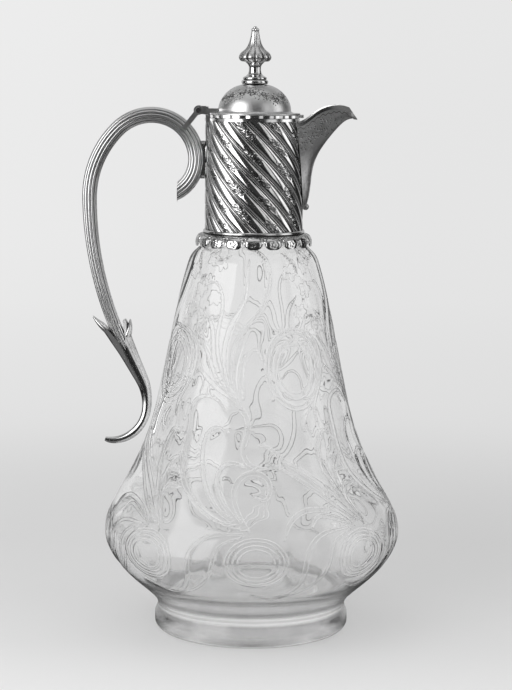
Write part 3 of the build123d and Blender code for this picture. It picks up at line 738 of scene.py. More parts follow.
tile_columns = glass_columns // tile_count
tile_azimuth = (np.arange(tile_columns) * tile / tile_columns)[None, :] + 0 * carved[:, :1]
tile_along = run_of(carved)[:, None] + 0 * tile_azimuth
tile_radius = carved[:, :1] + 0 * tile_azimuth
tile_height = carved[:, 1:] + 0 * tile_azimuth
far_off = 99.0


def distance_to(strokes, width, period=tile):
    """For each point of the tile: the distance past the edge of the nearest stroke (negative
    inside it) and the signed distance from its middle line (positive on its left), both in mm.
    A stroke is as wide as width in its middle and narrows to its ends."""
    edge = np.full(tile_azimuth.shape, far_off)
    side = np.full(tile_azimuth.shape, far_off)
    for points in strokes:
        at, run, way = stroke_samples(points)
        taper = np.sin(np.pi * np.linspace(0.06, 0.94, len(at))) ** 0.6
        gap = (tile_azimuth[..., None] - at + period / 2) % period - period / 2
        across = np.radians(gap) * tile_radius[..., None]
        up = tile_along[..., None] - run
        past = np.hypot(across, up) - width * taper
        nearest = past.argmin(axis=-1)[..., None]
        past = np.take_along_axis(past, nearest, -1)[..., 0]
        across = np.take_along_axis(across, nearest, -1)[..., 0]
        up = np.take_along_axis(up, nearest, -1)[..., 0]
        left = way[nearest[..., 0], 0] * up - way[nearest[..., 0], 1] * across
        side = np.where(past < edge, left, side)
        edge = np.minimum(past, edge)
    return edge, side


scroll_edge, scroll_side = distance_to(scroll_strokes, 1.15)
leaf_edge, leaf_side = distance_to(leaf_strokes, 0.9)
wave_edge, wave_side = distance_to(wave_strokes, 1.1, tile / 2)
band_edge = distance_to(wave_edges, 0.8, tile / 2)[0]
curl_edge = distance_to(curl_strokes, 0.6)[0]
print("farthest from a scroll:", round(float(scroll_edge.max()), 1), "mm")

# %% Bull's-eyes and rosettes
def from_centre(azimuth, height, period=tile):
    """Places in mm across and up from a point of the glass, on its nearest repeat."""
    gap = (tile_azimuth - azimuth + period / 2) % period - period / 2
    return np.radians(gap) * tile_radius, tile_height - height


def ellipse_share(centre, half_sizes, period=tile):
    """Distance from an ellipse's centre as a share of its outline: 1 on the outline."""
    u, v = from_centre(*centre, period)
    return np.hypot(u / half_sizes[0], v / half_sizes[1])


low_eye = ellipse_share((1.9, 47.4), (14.0, 10.8), tile / 2)
high_eye = ellipse_share((28.0, 131.9), (13.6, 17.6))
for azimuth, up, size in rosettes:
    u, v = from_centre(azimuth, up)
    eye_of_flower = np.abs(np.hypot(u, v) - 0.25 * size)
    leaf_edge = np.minimum.reduce([leaf_edge, petals(u, v, 5, size), eye_of_flower])
leaf_edge = np.minimum(leaf_edge, curl_edge)
print("rosettes:", len(rosettes), "on each of", tile_count, "repeats")

# %% [markdown]
# A cut is deepest beside its steep edge and fades over several millimetres on the other side, so
# the leaves look hollowed. The bull's-eyes are a shallow dish inside a rounded ring, with a
# groove on each side of the ring.

# %% Depth of the cuts
scoop_depth = 0.34
scoop_reach = 5.5
groove_depth = 0.16
curl_depth = 0.55
foot_ring_heights = [13.2, 14.8, 17.4]
foot_ring_width = 0.45
smoothing_steps = 4


def scoop(edge, side, reach):
    """Depth of a gently sloping cut: full beside the stroke on its left, nothing on its right,
    and fading away with distance."""
    fade = 1 - smooth_step(np.abs(side), 0.3, reach)
    return smooth_step(side, -0.5, 0.5) * fade * (1 - smooth_step(edge, reach - 1, reach + 1))


def groove(edge, width=0.8):
    """Depth of the narrow cut that follows a stroke."""
    return 1 - smooth_step(edge, -width, width / 2)


def eye_depth(share, dish):
    """Depth across a bull's-eye, by the share of its radius: a dish, a ridge and two grooves."""
    hollow = dish * np.clip(1 - (share / 0.66) ** 2, 0, 1)
    grooves = sum(np.exp(-(((share - at) / 0.045) ** 2)) for at in (0.70, 1.0))
    return hollow + 0.22 * grooves


def smoothed(depth):
    """Each value mixed with its neighbours, 1 : 2 : 1 round the body and then up it."""
    depth = (np.roll(depth, 1, 1) + 2 * depth + np.roll(depth, -1, 1)) / 4
    beyond = np.pad(depth, ((1, 1), (0, 0)), "edge")
    return (beyond[:-2] + 2 * depth + beyond[2:]) / 4


clear_of_eyes = smooth_step(np.minimum(low_eye, high_eye), 1.0, 1.1)
line_depth = np.maximum.reduce([
    groove(edge) for edge in (scroll_edge, leaf_edge, wave_edge, band_edge)
])
hollow_depth = np.maximum.reduce([
    scoop(scroll_edge, scroll_side, scoop_reach), scoop(leaf_edge, leaf_side, scoop_reach - 1.5),
    scoop(wave_edge, -wave_side, scoop_reach),
])
for _ in range(smoothing_steps):
    hollow_depth = smoothed(hollow_depth)
sink = clear_of_eyes * (scoop_depth * hollow_depth + groove_depth * line_depth)
sink = sink + eye_depth(low_eye, 0.6) + eye_depth(high_eye, 0.45)
ring_depth = sum(
    np.exp(-(((tile_height - z) / foot_ring_width) ** 2)) for z in foot_ring_heights
)
sink = sink * smooth_step(tile_height, 20, 24) + groove_depth * ring_depth
sink = sink + curl_depth * (1 - smooth_step(curl_edge, -0.7, 0.2))
sink = sink * (1 - smooth_step(tile_height, 189, 192))
print("deepest cut", round(float(sink.max()), 2), "mm of a", wall, "mm wall")

# %% The glass mesh
def round_the_body(values, elsewhere):
    """The carved tile's values repeated round the whole glass, with a constant off the carving."""
    whole = np.full((len(glass_profile), glass_columns), float(elsewhere))
    whole[first_carved : first_carved + carved_rows] = np.tile(values, (1, tile_count))
    return whole


glass = closed_grid(
    "glass", turned(glass_profile, full_turn(glass_columns), round_the_body(sink, 0)), 30
)
for name, values, least, most in (
    ("scroll", np.minimum(scroll_edge, wave_edge), -3, 9),
    ("leaf", np.minimum(leaf_edge, band_edge), -3, 9), ("curl", curl_edge, -3, 9),
    ("low_eye", low_eye, 0, 3), ("high_eye", high_eye, 0, 3),
):
    whole = round_the_body(np.clip(values, least, most), most)
    set_attribute(glass, name, np.append(whole, [most, most]))
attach(glass, "jug")
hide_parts("glass_body")
print("glass:", len(glass.data.polygons), "faces")

# %% [markdown]
# ## Collar
# The collar is a tube of wide rounded flutes that wind up round it, with a fine bead in each
# valley. The grid follows the flutes, so a column of points stays on its crest or its bead from
# the bottom to the top. The flutes carry chased sprigs with plain polished lengths between them.
# Under the spout the tube is cut open by the V-shaped throat.

# %% Fluted collar
collar_low, collar_high = (np.array(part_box("collar")) / mm)[:, 2]
collar_radius = 23.5
collar_bore = 21.7
flute_count = 18
flute_twist = 130.0
flute_depth = 1.15
flute_bead = 0.075
bead_height = 0.5
sprig_spacing = 19.0
sprig_shift = 7.6
rows_up = 176
rows_inside = 12
rise = collar_high - collar_low
pitch = 360 / flute_count
wind = math.atan(math.radians(flute_twist) * collar_radius / rise)
in_bead = np.linspace(-flute_bead, flute_bead, 7)[:-1]
in_flute = 0.5 + (0.5 - flute_bead) * np.sin(np.radians(np.linspace(-90, 90, 21)[:-1]))
phases = (np.arange(flute_count)[:, None] + np.concatenate([in_bead, in_flute])).ravel()
height = np.linspace(collar_low, collar_high, rows_up)[:, None]
share = (phases % 1)[None, :]
swell = np.clip(1 - ((share - 0.5) / (0.5 - flute_bead)) ** 2, 0, 1)
bead = np.clip(1 - (np.minimum(share, 1 - share) / flute_bead) ** 2, 0, 1)
surface = collar_radius - flute_depth + flute_depth * np.sqrt(swell) + bead_height * np.sqrt(bead)
print("flutes wind at", round(math.degrees(wind), 1), "degrees from upright")

# %% Sprigs on the flutes, and the collar's mesh
number = np.floor(phases)[None, :]
across = (share - 0.5) * math.radians(pitch) * collar_radius * math.cos(wind)
place = (height - collar_low + number * sprig_shift) % sprig_spacing - sprig_spacing / 2
chased_edge = sprig(place / math.cos(wind), across, 0.85)
surface = surface - punched(chased_edge, 0.16) * (swell > 0.02)


def wound(level):
    """Azimuths of the flutes' columns at a height: they turn evenly as they climb."""
    return np.radians(phases * pitch - flute_twist * (level - collar_low) / rise)


levels_down = np.linspace(collar_high, collar_low, rows_inside)[:, None]
collar_grid = mm * np.concatenate([
    round_axis(surface, wound(height), height),
    round_axis(collar_bore, wound(levels_down), levels_down),
])
collar = closed_loop("fluted_collar", collar_grid, 50)
store_marks(collar, "chased", collar_grid.shape[:2], slice(rows_up), chased_edge)
print("collar:", len(collar.data.polygons), "faces before its throat is cut")


# %% The throat
def cut_prism(piece, corners, start, end):
    """Cuts a piece by a prism whose cross-section (y, z) in mm runs from one x to another."""
    n = len(corners)
    points = np.array([(x, y, z) for x in (start, end) for y, z in corners]) * mm
    near = np.arange(n)
    sides = np.stack([near, (near + 1) % n, (near + 1) % n + n, near + n], axis=-1)
    caps = np.stack([near[::-1], near + n])
    cutter = add_mesh("cutter", points, [sides, caps])
    modifier = piece.modifiers.new("cut", "BOOLEAN")
    modifier.operation = "DIFFERENCE"
    modifier.solver = "EXACT"
    modifier.object = cutter
    bpy.context.view_layer.update()
    evaluated = piece.evaluated_get(bpy.context.evaluated_depsgraph_get())
    cut = bpy.data.meshes.new_from_object(evaluated)
    piece.modifiers.clear()
    piece.data = cut
    bpy.data.objects.remove(cutter)


throat_depth = 36.6
throat_half_width = 10.4
rim_height = 1.3
throat_top = collar_high + rim_height
throat = [
    (0, collar_high - throat_depth), (throat_half_width, throat_top),
    (-throat_half_width, throat_top),
]
cut_prism(collar, throat, 5.0, collar_radius + 3)
collar.data.set_sharp_from_angle(angle=math.radians(50))
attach(collar, "jug")
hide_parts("collar")
print("collar:", len(collar.data.polygons), "faces")

# %% [markdown]
# ## Border
# A skirt hides the joint between collar and glass. Its lower edge is a row of rounded tongues.
# Each tongue carries a low domed disc on sunk ground, with a punched line just inside the disc's
# edge and a small flower in its middle. A row of ovals runs above them.

# %% The border's line and its tongues
tongue_count = 18
per_tongue = 28
border_top = collar_low - 1.6
border_low = collar_low - 7.6
border_radius = collar_radius + 4.5
border_wall = 0.8
border_waist = (border_top + border_low) / 2 - border_wall / 2
notch_height = 4.4
notch_half_width = 3.7
half_pitch = math.pi * border_radius / tongue_count
skirt = smooth_curve(
    [
        (collar_radius + 0.4, border_top), (collar_radius + 3.5, collar_low - 2.8),
        (border_radius, border_waist), (border_radius, border_low),
    ],
    (1, -0.2), (0, -1), 400,
)
skirt = np.concatenate([[(collar_bore, border_top)], skirt])
skirt_run = run_of(skirt)
column = np.arange(tongue_count * per_tongue)
across_tongue = (column % per_tongue / per_tongue - 0.5) * 2 * half_pitch
into_notch = 1 - np.clip((half_pitch - np.abs(across_tongue)) / notch_half_width, 0, 1)
edge_height = border_low + notch_height * (1 - np.sqrt(1 - into_notch**2))
end_run = np.interp(-edge_height, -skirt[:, 1], skirt_run)
print("tongues:", tongue_count, "of", round(2 * half_pitch, 2), "mm")

# %% Chasing of the border
border_rows = 46
lip_share = 0.02
first_run = skirt_run[1]
shares = np.concatenate([[0, lip_share], np.linspace(0.1, 1, border_rows - 2)])[:, None]


def run_at(share):
    """Distance along the skirt's line at a share of its rows: first the flat lip, which takes
    lip_share of them, and then the skirt down to the tongues' edge."""
    skirt_share = (share - lip_share) / (1 - lip_share)
    return np.where(
        share <= lip_share, share / lip_share * first_run,
        first_run + (end_run - first_run) * skirt_share,
    )


run = run_at(shares)
radius = np.interp(run, skirt_run, skirt[:, 0])
level = np.interp(run, skirt_run, skirt[:, 1])
disc_radius = 4.5
disc_u, disc_v = across_tongue[None, :] + 0 * level, level - (border_low + 2.6)
disc = np.hypot(disc_u, disc_v) - disc_radius
flower = petals(disc_u, disc_v + 0.2, 5, flower_radius)
oval_gap = (across_tongue[None, :] + half_pitch / 2) % half_pitch - half_pitch / 2
oval_v = run - (first_run + 2.0)
ovals = (np.hypot(oval_gap / 1.75, oval_v / 0.75) - 1) * 0.75
border_edge = np.minimum.reduce([np.abs(ovals), np.abs(disc + 0.6), np.abs(flower) + 0.1])
below_ovals = smooth_step(run, first_run + 2.8, first_run + 3.6)
sunk = punched(border_edge, 0.25) + 0.5 * smooth_step(disc, -0.1, 0.4) * below_ovals
sunk = sunk + 0.4 * np.clip(1 + disc / disc_radius, 0, 1) ** 2 * below_ovals
sunk = sunk * (shares > 0.1)
print("border is sunk by at most", round(float(sunk.max()), 2), "mm")

# %% The border's mesh
border_angle = full_turn(tongue_count * per_tongue) + math.pi / 2
back_shares = np.array([1.0, 0.8, 0.6, 0.4, 0.2, lip_share])[:, None]
back_run = run_at(back_shares)
drop = np.where(back_shares < 1, 0.8 * border_wall, 0)
border_grid = mm * np.concatenate([
    round_axis(radius - sunk, border_angle, level),
    round_axis(
        np.interp(back_run, skirt_run, skirt[:, 0]) - border_wall, border_angle,
        np.interp(back_run, skirt_run, skirt[:, 1]) - drop,
    ),
    round_axis(collar_bore, border_angle, border_top - border_wall)[None],
])[::-1]
border = closed_loop("tongue_border", border_grid, 50)
top_rows_down = slice(-1, -border_rows - 1, -1)
store_marks(border, "chased", border_grid.shape[:2], top_rows_down, border_edge)
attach(border, "jug")
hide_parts("collar_border")
print("border:", len(border.data.polygons), "faces")

# %% [markdown]
# ## Handle
# The handle is a bar drawn through a reeded die, so its section is a ring of rounded reeds with
# sharp valleys. It is bent into a scroll of arcs that join without a kink, and it narrows to the
# calyx. The grid sweeps the section along the arcs, in a frame that only turns in the plane of
# the handle, so the reeds do not twist.

# %% The bar's middle line
bar_depth = 7.7
bar_width = 9.2
reed_count = 12
reed_depth = 0.95
points_per_reed = 14
handle_root = (-(collar_radius + 0.35 + bar_depth / 2), collar_high - 18.6)
scroll_radius = 17.4
scroll_sweep = 74.0
scroll_cut = 9.0
tail_way = -63.5
grip_radius = 165.0
grip_length = 68.0
tuck_length = 9.0
grip_sweep = math.degrees(grip_length / grip_radius)
tuck_sweep = 90 + tail_way - grip_sweep
handle_turns = [
    (scroll_radius, scroll_sweep), (21.0, 90), (23.2, 45), (46.0, 45), (grip_radius, grip_sweep),
    (tuck_length / math.radians(tuck_sweep), tuck_sweep),
]


def arc_chain(start, way, turns, spacing=0.8):
    """Points along arcs that follow on from each other, and their directions in degrees. Each
    turn is a radius and an angle, positive to the left."""
    places, ways = [np.array([start], float)], [np.array([way], float)]
    for radius, angle in turns:
        count = max(int(abs(radius * math.radians(angle)) / spacing), 3)
        turned_by = np.linspace(0, angle, count + 1)[1:]
        side = math.copysign(1, angle)
        x, z = places[-1][-1]
        here, there = math.radians(way), np.radians(way + turned_by)
        places.append(np.stack([
            x + side * radius * (np.sin(there) - math.sin(here)),
            z - side * radius * (np.cos(there) - math.cos(here)),
        ], axis=-1))
        ways.append(way + turned_by)
        way += angle
    return np.concatenate(places), np.concatenate(ways)


way = 90 - scroll_sweep
scroll_start = (
    handle_root[0] - scroll_radius * (1 - math.sin(math.radians(way))),
    handle_root[1] - scroll_radius * math.cos(math.radians(way)),
)
bar_line, bar_ways = arc_chain(scroll_start, way, handle_turns)
print("handle bar:", round(run_of(bar_line)[-1]), "mm along its middle line")


# %% The reeded bar
def swept(line, ways, across, beside):
    """Grid of points in mm: at each point of a line in the XZ plane, a section whose first
    coordinate runs across the handle and whose second runs to the right of the line."""
    a = np.radians(ways)[:, None]
    return np.stack([
        line[:, :1] + beside * np.sin(a), across + 0 * a, line[:, 1:] - beside * np.cos(a),
    ], axis=-1)


bar_stations = [(0, 1), (0.45, 0.98), (0.72, 0.85), (1, 0.79)]
bar_share = run_of(bar_line) / run_of(bar_line)[-1]
bar_scale = np.interp(bar_share, *zip(*bar_stations))[:, None]
section = np.arange(reed_count * points_per_reed) / points_per_reed
reed = np.abs((section + 0.5) % 1 - 0.5) * 2
sunk = reed_depth * (1 - np.sqrt(1 - (0.97 * reed) ** 2))
turn = 2 * math.pi * section / reed_count
section_across = (bar_width / 2 - sunk) * np.cos(turn) * bar_scale
section_beside = -(bar_depth / 2 - sunk) * np.sin(turn) * bar_scale
bar_grid = swept(bar_line, bar_ways, section_across, section_beside)
near_end = (bar_line[:, 1] < handle_root[1]) & (bar_share < 0.1)
bar_grid[near_end, :, 0] = np.maximum(bar_grid[near_end, :, 0], handle_root[0] - scroll_cut)
bar = closed_grid("reeded_bar", mm * bar_grid, 35)
# The groove's depth is kept on the mesh; the material paints shade into it.
set_attribute(bar, "groove", np.append(np.tile(sunk / reed_depth, len(bar_grid)), [0, 0]))
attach(bar, "jug")
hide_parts("handle_bar")
print("bar:", len(bar.data.polygons), "faces")

# %% [markdown]
# ## Lid
# The dome is spun from sheet, smooth and satin where it is plain. A garland of sprigs winds round
# it, drawn by the same punches as on the collar, on a band of fine dots.

# %% Outline of the dome
dome_low, dome_high = (np.array(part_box("lid_dome")) / mm)[:, 2]
lid_low = dome_low - 1.3
dome_radius = 17.3
skirt_radius = 21.6
dome_rise = dome_high - lid_low
dome_wall = 0.9
stud_hole = 1.4
skirt_top = dome_low + 0.7
dome_foot = (dome_radius, lid_low + 3.4)
flare = bezier(
    (skirt_radius, skirt_top), (dome_radius + 1.3, skirt_top + 0.15),
    (dome_radius, dome_foot[1] - 1.1), dome_foot, 12,
)
crown_shares = [(0.90, 0.565), (0.75, 0.765), (0.36, 0.978)]
crown = smooth_curve(
    [dome_foot]
    + [(dome_radius * out, lid_low + dome_rise * up) for out, up in crown_shares]
    + [(stud_hole, dome_high)],
    (0, 1), (-1, 0), 96,
)
crown_inside = (crown - dome_wall * normals_of(crown))[::-6]
crown_inside[:, 0] = np.maximum(crown_inside[:, 0], stud_hole)
dome_profile = np.concatenate([
    [(dome_radius - dome_wall, dome_low), (skirt_radius, dome_low)], flare, crown[1:], crown_inside,
])
print("dome:", round(dome_rise, 1), "mm high")

# %% Garland and the dome's mesh
dome_columns = 400
sprigs_round = 8
garland_swing = 2.0
garland_waves = 3
garland_half_width = 3.4
dome_azimuth = full_turn(dome_columns)
first_crown = 2 + len(flare)
crown_part = slice(first_crown, first_crown + len(crown) - 1)
crown_run = run_of(crown)[1:, None]
garland = 0.36 * run_of(crown)[-1] + garland_swing * np.cos(garland_waves * dome_azimuth + 0.6)
above_garland = crown_run - garland[None, :]
sprig_turn = 2 * math.pi / sprigs_round
place = (dome_azimuth / sprig_turn + 0.35) % 1 - 0.5
garland_edge = sprig(place[None, :] * sprig_turn * crown[1:, :1], above_garland, 1.05)
band = np.abs(above_garland) - garland_half_width
dome_sink = np.zeros((len(dome_profile), dome_columns))
dome_sink[crown_part] = punched(garland_edge, 0.25)
dome = closed_loop("chased_dome", turned(dome_profile, dome_azimuth, dome_sink), 50)
store_marks(dome, "chased", dome_sink.shape, crown_part, garland_edge)
store_marks(dome, "band", dome_sink.shape, crown_part, band)
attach(dome, "lid")
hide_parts("lid_dome")
print("dome:", len(dome.data.polygons), "faces")

# %% [markdown]
# ## Finial
# The bell is cast hollow and lobed like a flower. Its lip curls in under the lobes to the cup of
# the stem. The lobes are deepest at the lip and run out towards the knop.

# %% Outline of the bell
bell_low, bell_high = (np.array(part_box("finial_bell")) / mm)[:, 2]
bell_radius = 7.9
bell_tip = 1.85
lobe_count = 12
lobe_depth = 0.55
bell_rise = bell_high - bell_low
bell_shares = [
    (0.98, 0.2), (0.885, 0.29), (0.685, 0.38), (0.53, 0.47), (0.365, 0.65), (0.285, 0.83),
]
lip_radius = 2.2
lip_height = bell_low + 2.4
lip = arc((bell_radius - lip_radius, lip_height), lip_radius, -75, 0, 12)
bell_side = smooth_curve(
    [(bell_radius, lip_height)]
    + [(bell_radius * out, bell_low + bell_rise * up) for out, up in bell_shares]
    + [(bell_tip, bell_high)],
    (0, 1), (-0.1, 1), 70,
)
under = np.array([(1.5, bell_low + 0.1), (3.6, bell_low + 0.1)])
bell_profile = np.concatenate([under, lip, bell_side[1:], [(0.6, bell_high)]])
print("bell:", round(bell_rise, 1), "mm high")

# %% Lobes and the bell's mesh
lobe_columns = 12
knop_depth = 0.12
bell_azimuth = full_turn(lobe_columns * lobe_count)
valley = (1 - np.abs(np.sin(lobe_count / 2 * bell_azimuth))) ** 1.5
out_share = np.clip((bell_profile[:, :1] - 3.0) / (bell_radius - 3.0), 0, 1)
bell_sink = (knop_depth + (lobe_depth - knop_depth) * out_share) * valley
bell_sink[: len(under)] = 0
bell = closed_grid("lobed_bell", turned(bell_profile, bell_azimuth, bell_sink), 60)
# The lobes' valleys are kept on the mesh as grooves; the material paints shade into them.
bell_groove = valley * (0.4 + 0.6 * out_share)
set_attribute(bell, "groove", np.append(bell_groove, [0, 0]))
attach(bell, "lid")
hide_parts("finial_bell")
print("bell:", len(bell.data.polygons), "faces")

# %% [markdown]
# ## Silver
# Old plate is bright where hands and cloths rub it, and its polish is full of fine scratches.
# These effects are shared node groups: the dark of tarnish, a painted shade in recesses and
# between neighbouring parts, the scratches, and the punched lines and dots of the chaser. Each
# silver material sets its own amounts.

# %% Node groups for silver
def new_group(name, ins, outs):
    """A shader node group with float or vector inputs (name, default) and float outputs."""
    group = bpy.data.node_groups.new(name, "ShaderNodeTree")
    for label, value in ins:
        kind = "NodeSocketVector" if value is None else "NodeSocketFloat"
        socket = group.interface.new_socket(label, in_out="INPUT", socket_type=kind)
        if value is not None:
            socket.default_value = value
    for label in outs:
        group.interface.new_socket(label, in_out="OUTPUT", socket_type="NodeSocketFloat")
    return group, node(group, "NodeGroupInput").outputs, node(group, "NodeGroupOutput").inputs


def use_group(tree, group, inputs=None):
    """Places a node group in a tree and returns its outputs."""
    return node(tree, "ShaderNodeGroup", inputs, node_tree=group).outputs


tarnish, given, gives = new_group("tarnish", [("Vector", None), ("Amount", 0.5)], ["Mask"])
cloudy = stretch(tarnish, noise(tarnish, given["Vector"], 130.0, 4.0, 0.6), 0.42, 0.72)
specks = stretch(tarnish, noise(tarnish, given["Vector"], 900.0, 2.0), 0.5, 0.75)
both = calc(tarnish, "MULTIPLY_ADD", specks, 0.35, cloudy)
tarnish.links.new(calc(tarnish, "MULTIPLY", both, given["Amount"], clamp=True), gives["Mask"])

scratches, given, gives = new_group("scratches", [("Vector", None)], ["Height"])
drawn_out = node(scratches, "ShaderNodeMapping", {
    "Vector": given["Vector"], "Rotation": (0.4, 0.2, 0.9), "Scale": (1.0, 14.0, 1.0),
}).outputs[0]
hairs = noise(scratches, drawn_out, 220.0, 3.0)
dents = noise(scratches, given["Vector"], 75.0, 1.0)
scratches.links.new(calc(scratches, "MULTIPLY_ADD", hairs, 0.25, dents), gives["Height"])

# Painted shade: the more a place is closed in by its neighbours, within 1.6 mm, the darker its
# colour.
hollow_shade, _, gives = new_group("hollow_shade", [], ["Mask"])
open_sky = node(hollow_shade, "ShaderNodeAmbientOcclusion", {"Distance": 0.0016}, samples=6)
hollow_shade.links.new(stretch(hollow_shade, open_sky.outputs["AO"], 0.35, 0.85, 0.8, 0.0), gives["Mask"])

punches, given, gives = new_group(
    "punches", [("Vector", None), ("Edge", no_mark), ("Zone", no_mark)], ["Mask", "Dot"]
)
cells = node(punches, "ShaderNodeTexVoronoi", {"Vector": given["Vector"], "Scale": 850.0})
dot = calc(
    punches, "MULTIPLY", stretch(punches, cells.outputs["Distance"], 0.15, 0.42, 1.0, 0.0),
    stretch(punches, given["Zone"], 0.2, 0.8, 1.0, 0.0),
)
line = calc(punches, "MULTIPLY", line_at(punches, given["Edge"], 0.0, 0.34), 0.9)
dark_dot = calc(punches, "MULTIPLY", dot, 0.85)
punches.links.new(calc(punches, "MAXIMUM", line, dark_dot), gives["Mask"])
punches.links.new(dot, gives["Dot"])
print("groups:", tarnish.name, scratches.name, hollow_shade.name, punches.name)


# %% Where the chaser's marks are
spout_edge_line = [(23.5, 245.6), (25.9, 247.6), (31.6, 251.6), (38.6, 253.3), (44.6, 252.4)]


def chased_marks(tree, place):
    """Outlines stored on the mesh, with dots inside them."""
    edge = stored(tree, "chased")
    return edge, edge


def banded_marks(tree, place):
    """Outlines stored on the mesh, with dots in a stored band."""
    return stored(tree, "chased"), stored(tree, "band")


def spout_marks(tree, place):
    """A wavy line 3 mm below the spout's upper edge, and a band of dots that is 9 mm wide and
    lies 9 mm below it."""
    axes = node(tree, "ShaderNodeSeparateXYZ", {"Vector": place}).outputs
    x = calc(tree, "DIVIDE", axes["X"], mm)
    z = calc(tree, "DIVIDE", axes["Z"], mm)
    (x_low, z_low), (x_high, _) = spout_edge_line[0], spout_edge_line[-1]
    length, climb = x_high - x_low, max(up for _, up in spout_edge_line) - z_low
    share = calc(tree, "DIVIDE", calc(tree, "SUBTRACT", x, x_low), length)
    edge_share = ramp(tree, share, [
        ((at - x_low) / length, (up - z_low) / climb) for at, up in spout_edge_line
    ])
    edge_z = calc(tree, "MULTIPLY_ADD", edge_share, climb, z_low)
    below = calc(tree, "SUBTRACT", edge_z, z)
    wave = calc(tree, "SINE", calc(tree, "MULTIPLY", x, 2.4))
    line = calc(tree, "MULTIPLY_ADD", wave, 0.35, calc(tree, "SUBTRACT", below, 3.0))
    band = calc(tree, "ABSOLUTE", calc(tree, "SUBTRACT", below, 9.0))
    return calc(tree, "ABSOLUTE", line), calc(tree, "SUBTRACT", band, 4.5)


print("marks for collar and border, for the dome and for the spout")


# %% Silver materials
# The dark colour is that of tarnish, of punched lines and of the painted shade in recesses.
silver_bright = grey(0.82)
silver_dark = grey(0.03)


def silver_material(name, tarnished=0.25, roughness=0.14, dents=0.00003, marks=None, grooves=0.0):
    """Polished silver: a metal whose colour goes from bright to dark by the tarnish, by a painted
    shade that deepens the further a place lies in between its neighbours and, on chased pieces,
    by the punched outlines. Marks gives the distance past the outlines and past the edge of the
    punched dots, in mm. Grooves is how dark the painted shade in a groove stored on the mesh gets."""
    material, tree = new_material(name)
    place = object_place(tree)
    dark = use_group(tree, tarnish, {"Vector": place, "Amount": tarnished})["Mask"]
    height = use_group(tree, scratches, {"Vector": place})["Height"]
    # Painted shade in recesses: from a groove stored on the mesh where given, or else from how
    # closed in a place is.
    if grooves:
        hollow = stretch(tree, stored(tree, "groove"), 0.2, 0.85, 0.0, grooves)
    else:
        hollow = use_group(tree, hollow_shade)["Mask"]
    dark = calc(tree, "MAXIMUM", dark, hollow)
    if marks:
        edge, zone = marks(tree, place)
        punched_in = use_group(tree, punches, {"Vector": place, "Edge": edge, "Zone": zone})
        dark = calc(tree, "MAXIMUM", dark, punched_in["Mask"])
        height = calc(tree, "MULTIPLY_ADD", punched_in["Dot"], -4.0, height)
    set_surface(tree, node(tree, "ShaderNodeBsdfPrincipled", {
        "Base Color": blend(tree, dark, silver_bright, silver_dark),
        "Metallic": 1.0,
        "Roughness": calc(tree, "MULTIPLY_ADD", dark, 0.2, roughness),
        "Normal": bumped(tree, height, dents),
    }))
    print("made", name)
    return material


polished_silver = silver_material("polished_silver")
# The reeds' grooves get painted shade almost to the dark colour.
reeded_silver = silver_material(
    "reeded_silver", tarnished=0.12, roughness=0.3, dents=0.00001, grooves=0.95
)
chased_silver = silver_material("chased_silver", roughness=0.11, marks=chased_marks)
satin_silver = silver_material("satin_silver", tarnished=0.08, roughness=0.36, marks=banded_marks)
spout_silver = silver_material("spout_silver", tarnished=0.5, roughness=0.34, marks=spout_marks)

# %% [markdown]
# ## Plaster and brass
# Plaster beds the collar on the neck: matt, off-white and a little grainy. The finial's stud and
# nut are plain brass, turned on a lathe, so their scratches run round.

# %% Plaster and brass
plaster, tree = new_material("plaster")
grain = noise(tree, object_place(tree), 700.0, 5.0)
set_surface(tree, node(tree, "ShaderNodeBsdfPrincipled", {
    "Base Color": blend(tree, grain, (0.70, 0.67, 0.60, 1), (0.86, 0.84, 0.79, 1)),
    "Roughness": 0.9, "Normal": bumped(tree, grain, 0.0001),
}))

brass, tree = new_material("brass")
place = object_place(tree)
squeezed = node(tree, "ShaderNodeMapping", {"Vector": place, "Scale": (1.0, 1.0, 40.0)}).outputs[0]
dark = use_group(tree, tarnish, {"Vector": place, "Amount": 0.4})["Mask"]
set_surface(tree, node(tree, "ShaderNodeBsdfPrincipled", {
    "Base Color": blend(tree, dark, (0.75, 0.58, 0.30, 1), (0.22, 0.15, 0.07, 1)),
    "Metallic": 1.0, "Roughness": 0.28,
    "Normal": bumped(tree, noise(tree, squeezed, 160.0, 2.0), 0.00003),
}))
print("made", plaster.name, brass.name)

# %% [markdown]
# ## Glass material
# Clear glass is one Principled shader with transmission. Its two surfaces bend the light, so the
# pattern at the back shows through the front. The edges of the cuts are finer than the mesh, so
# they are drawn as bump from the distances stored on it: a crisp line where the distance past a
# stroke's edge is nought, with a little matt white in it as a painted highlight. The foot is
# frosted by the shelf it stands on, and the deepest curls under the border are painted dark as
# shade under the silver. Glass that bends light would leave a hard black shadow, so for shadow and
# diffuse rays it turns almost transparent.

# %% Glass material
glass_ior = 1.52
cut_line_width = 0.26
eye_line_width = 0.035
eye_lines = (0.62, 0.78, 0.94, 1.06)
frosted_roughness = 0.23
polished_roughness = 0.012
# Share of matt white in the cut lines: a painted highlight.
line_highlight = 0.12

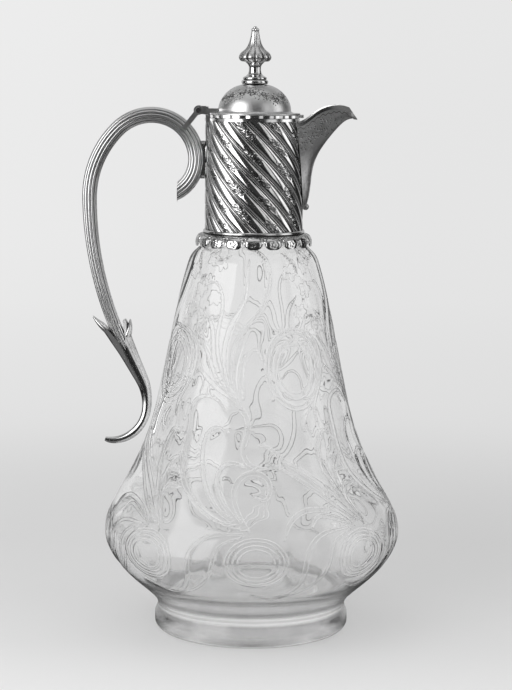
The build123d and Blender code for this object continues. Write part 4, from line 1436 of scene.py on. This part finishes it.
cut_glass, tree = new_material("cut_glass")
place = object_place(tree)
cuts = [
    line_at(tree, stored(tree, name), 0.0, cut_line_width) for name in ("scroll", "leaf")
] + [
    line_at(tree, stored(tree, name), share, eye_line_width)
    for name in ("low_eye", "high_eye") for share in eye_lines
]
lines = cuts[0]
for cut in cuts[1:]:
    lines = calc(tree, "MAXIMUM", lines, cut)
ripple = calc(tree, "MULTIPLY", noise(tree, place, 55.0, 1.0), 0.5)
height = calc(tree, "MULTIPLY_ADD", lines, -1.0, ripple)
up = node(tree, "ShaderNodeSeparateXYZ", {"Vector": place}).outputs["Z"]
frosted = stretch(tree, up, 18 * mm, 34 * mm, frosted_roughness, polished_roughness)
# Painted shade: the glass is coloured dark in the deepest curls under the border.
curl_shade = stretch(tree, stored(tree, "curl"), -0.35, 0.05, 1.0, 0.0)
body = node(tree, "ShaderNodeBsdfPrincipled", {
    "Base Color": blend(tree, curl_shade, grey(0.98), grey(0.10)), "Metallic": 0.0,
    "Roughness": calc(tree, "MULTIPLY_ADD", lines, 0.10, frosted), "IOR": glass_ior,
    "Transmission Weight": 1.0, "Normal": bumped(tree, height, 0.00016),
})
# Painted highlight: a thin share of matt white makes the cut lines read brighter.
highlight_white = node(tree, "ShaderNodeBsdfDiffuse", {"Color": grey(0.95)})
body = node(tree, "ShaderNodeMixShader", {
    0: calc(tree, "MULTIPLY", lines, line_highlight), 1: body.outputs[0], 2: highlight_white.outputs[0],
})
clear = node(tree, "ShaderNodeBsdfTransparent", {"Color": grey(0.9)})
ray = node(tree, "ShaderNodeLightPath").outputs
unbent = calc(tree, "MAXIMUM", ray["Is Shadow Ray"], ray["Is Diffuse Ray"])
set_surface(tree, node(tree, "ShaderNodeMixShader", {
    0: unbent, 1: body.outputs[0], 2: clear.outputs[0],
}))
glass.data.materials.append(cut_glass)
print("made", cut_glass.name)

# %% Finishes of the CAD nodes
finishes = {"plaster": plaster, "brass": brass, "silver": polished_silver, "cut_glass": cut_glass}
dressed = {"glass_body", "collar", "collar_border", "handle_bar", "lid_dome", "finial_bell"}
for subpart in frame["record"]["subparts"]:
    name = subpart["node"]
    if name not in dressed:
        piece = bpy.data.objects[name]
        piece.data.materials.clear()
        piece.data.materials.append(finishes[subpart["material_slot"]])
for piece, material in (
    (collar, chased_silver), (border, chased_silver), (bar, reeded_silver), (dome, satin_silver),
    (bell, reeded_silver),
):
    piece.data.materials.append(material)
for name, material in (
    ("spout", spout_silver), ("hinge_bracket", reeded_silver), ("hinge_leaf", reeded_silver),
):
    bpy.data.objects[name].data.materials[0] = material
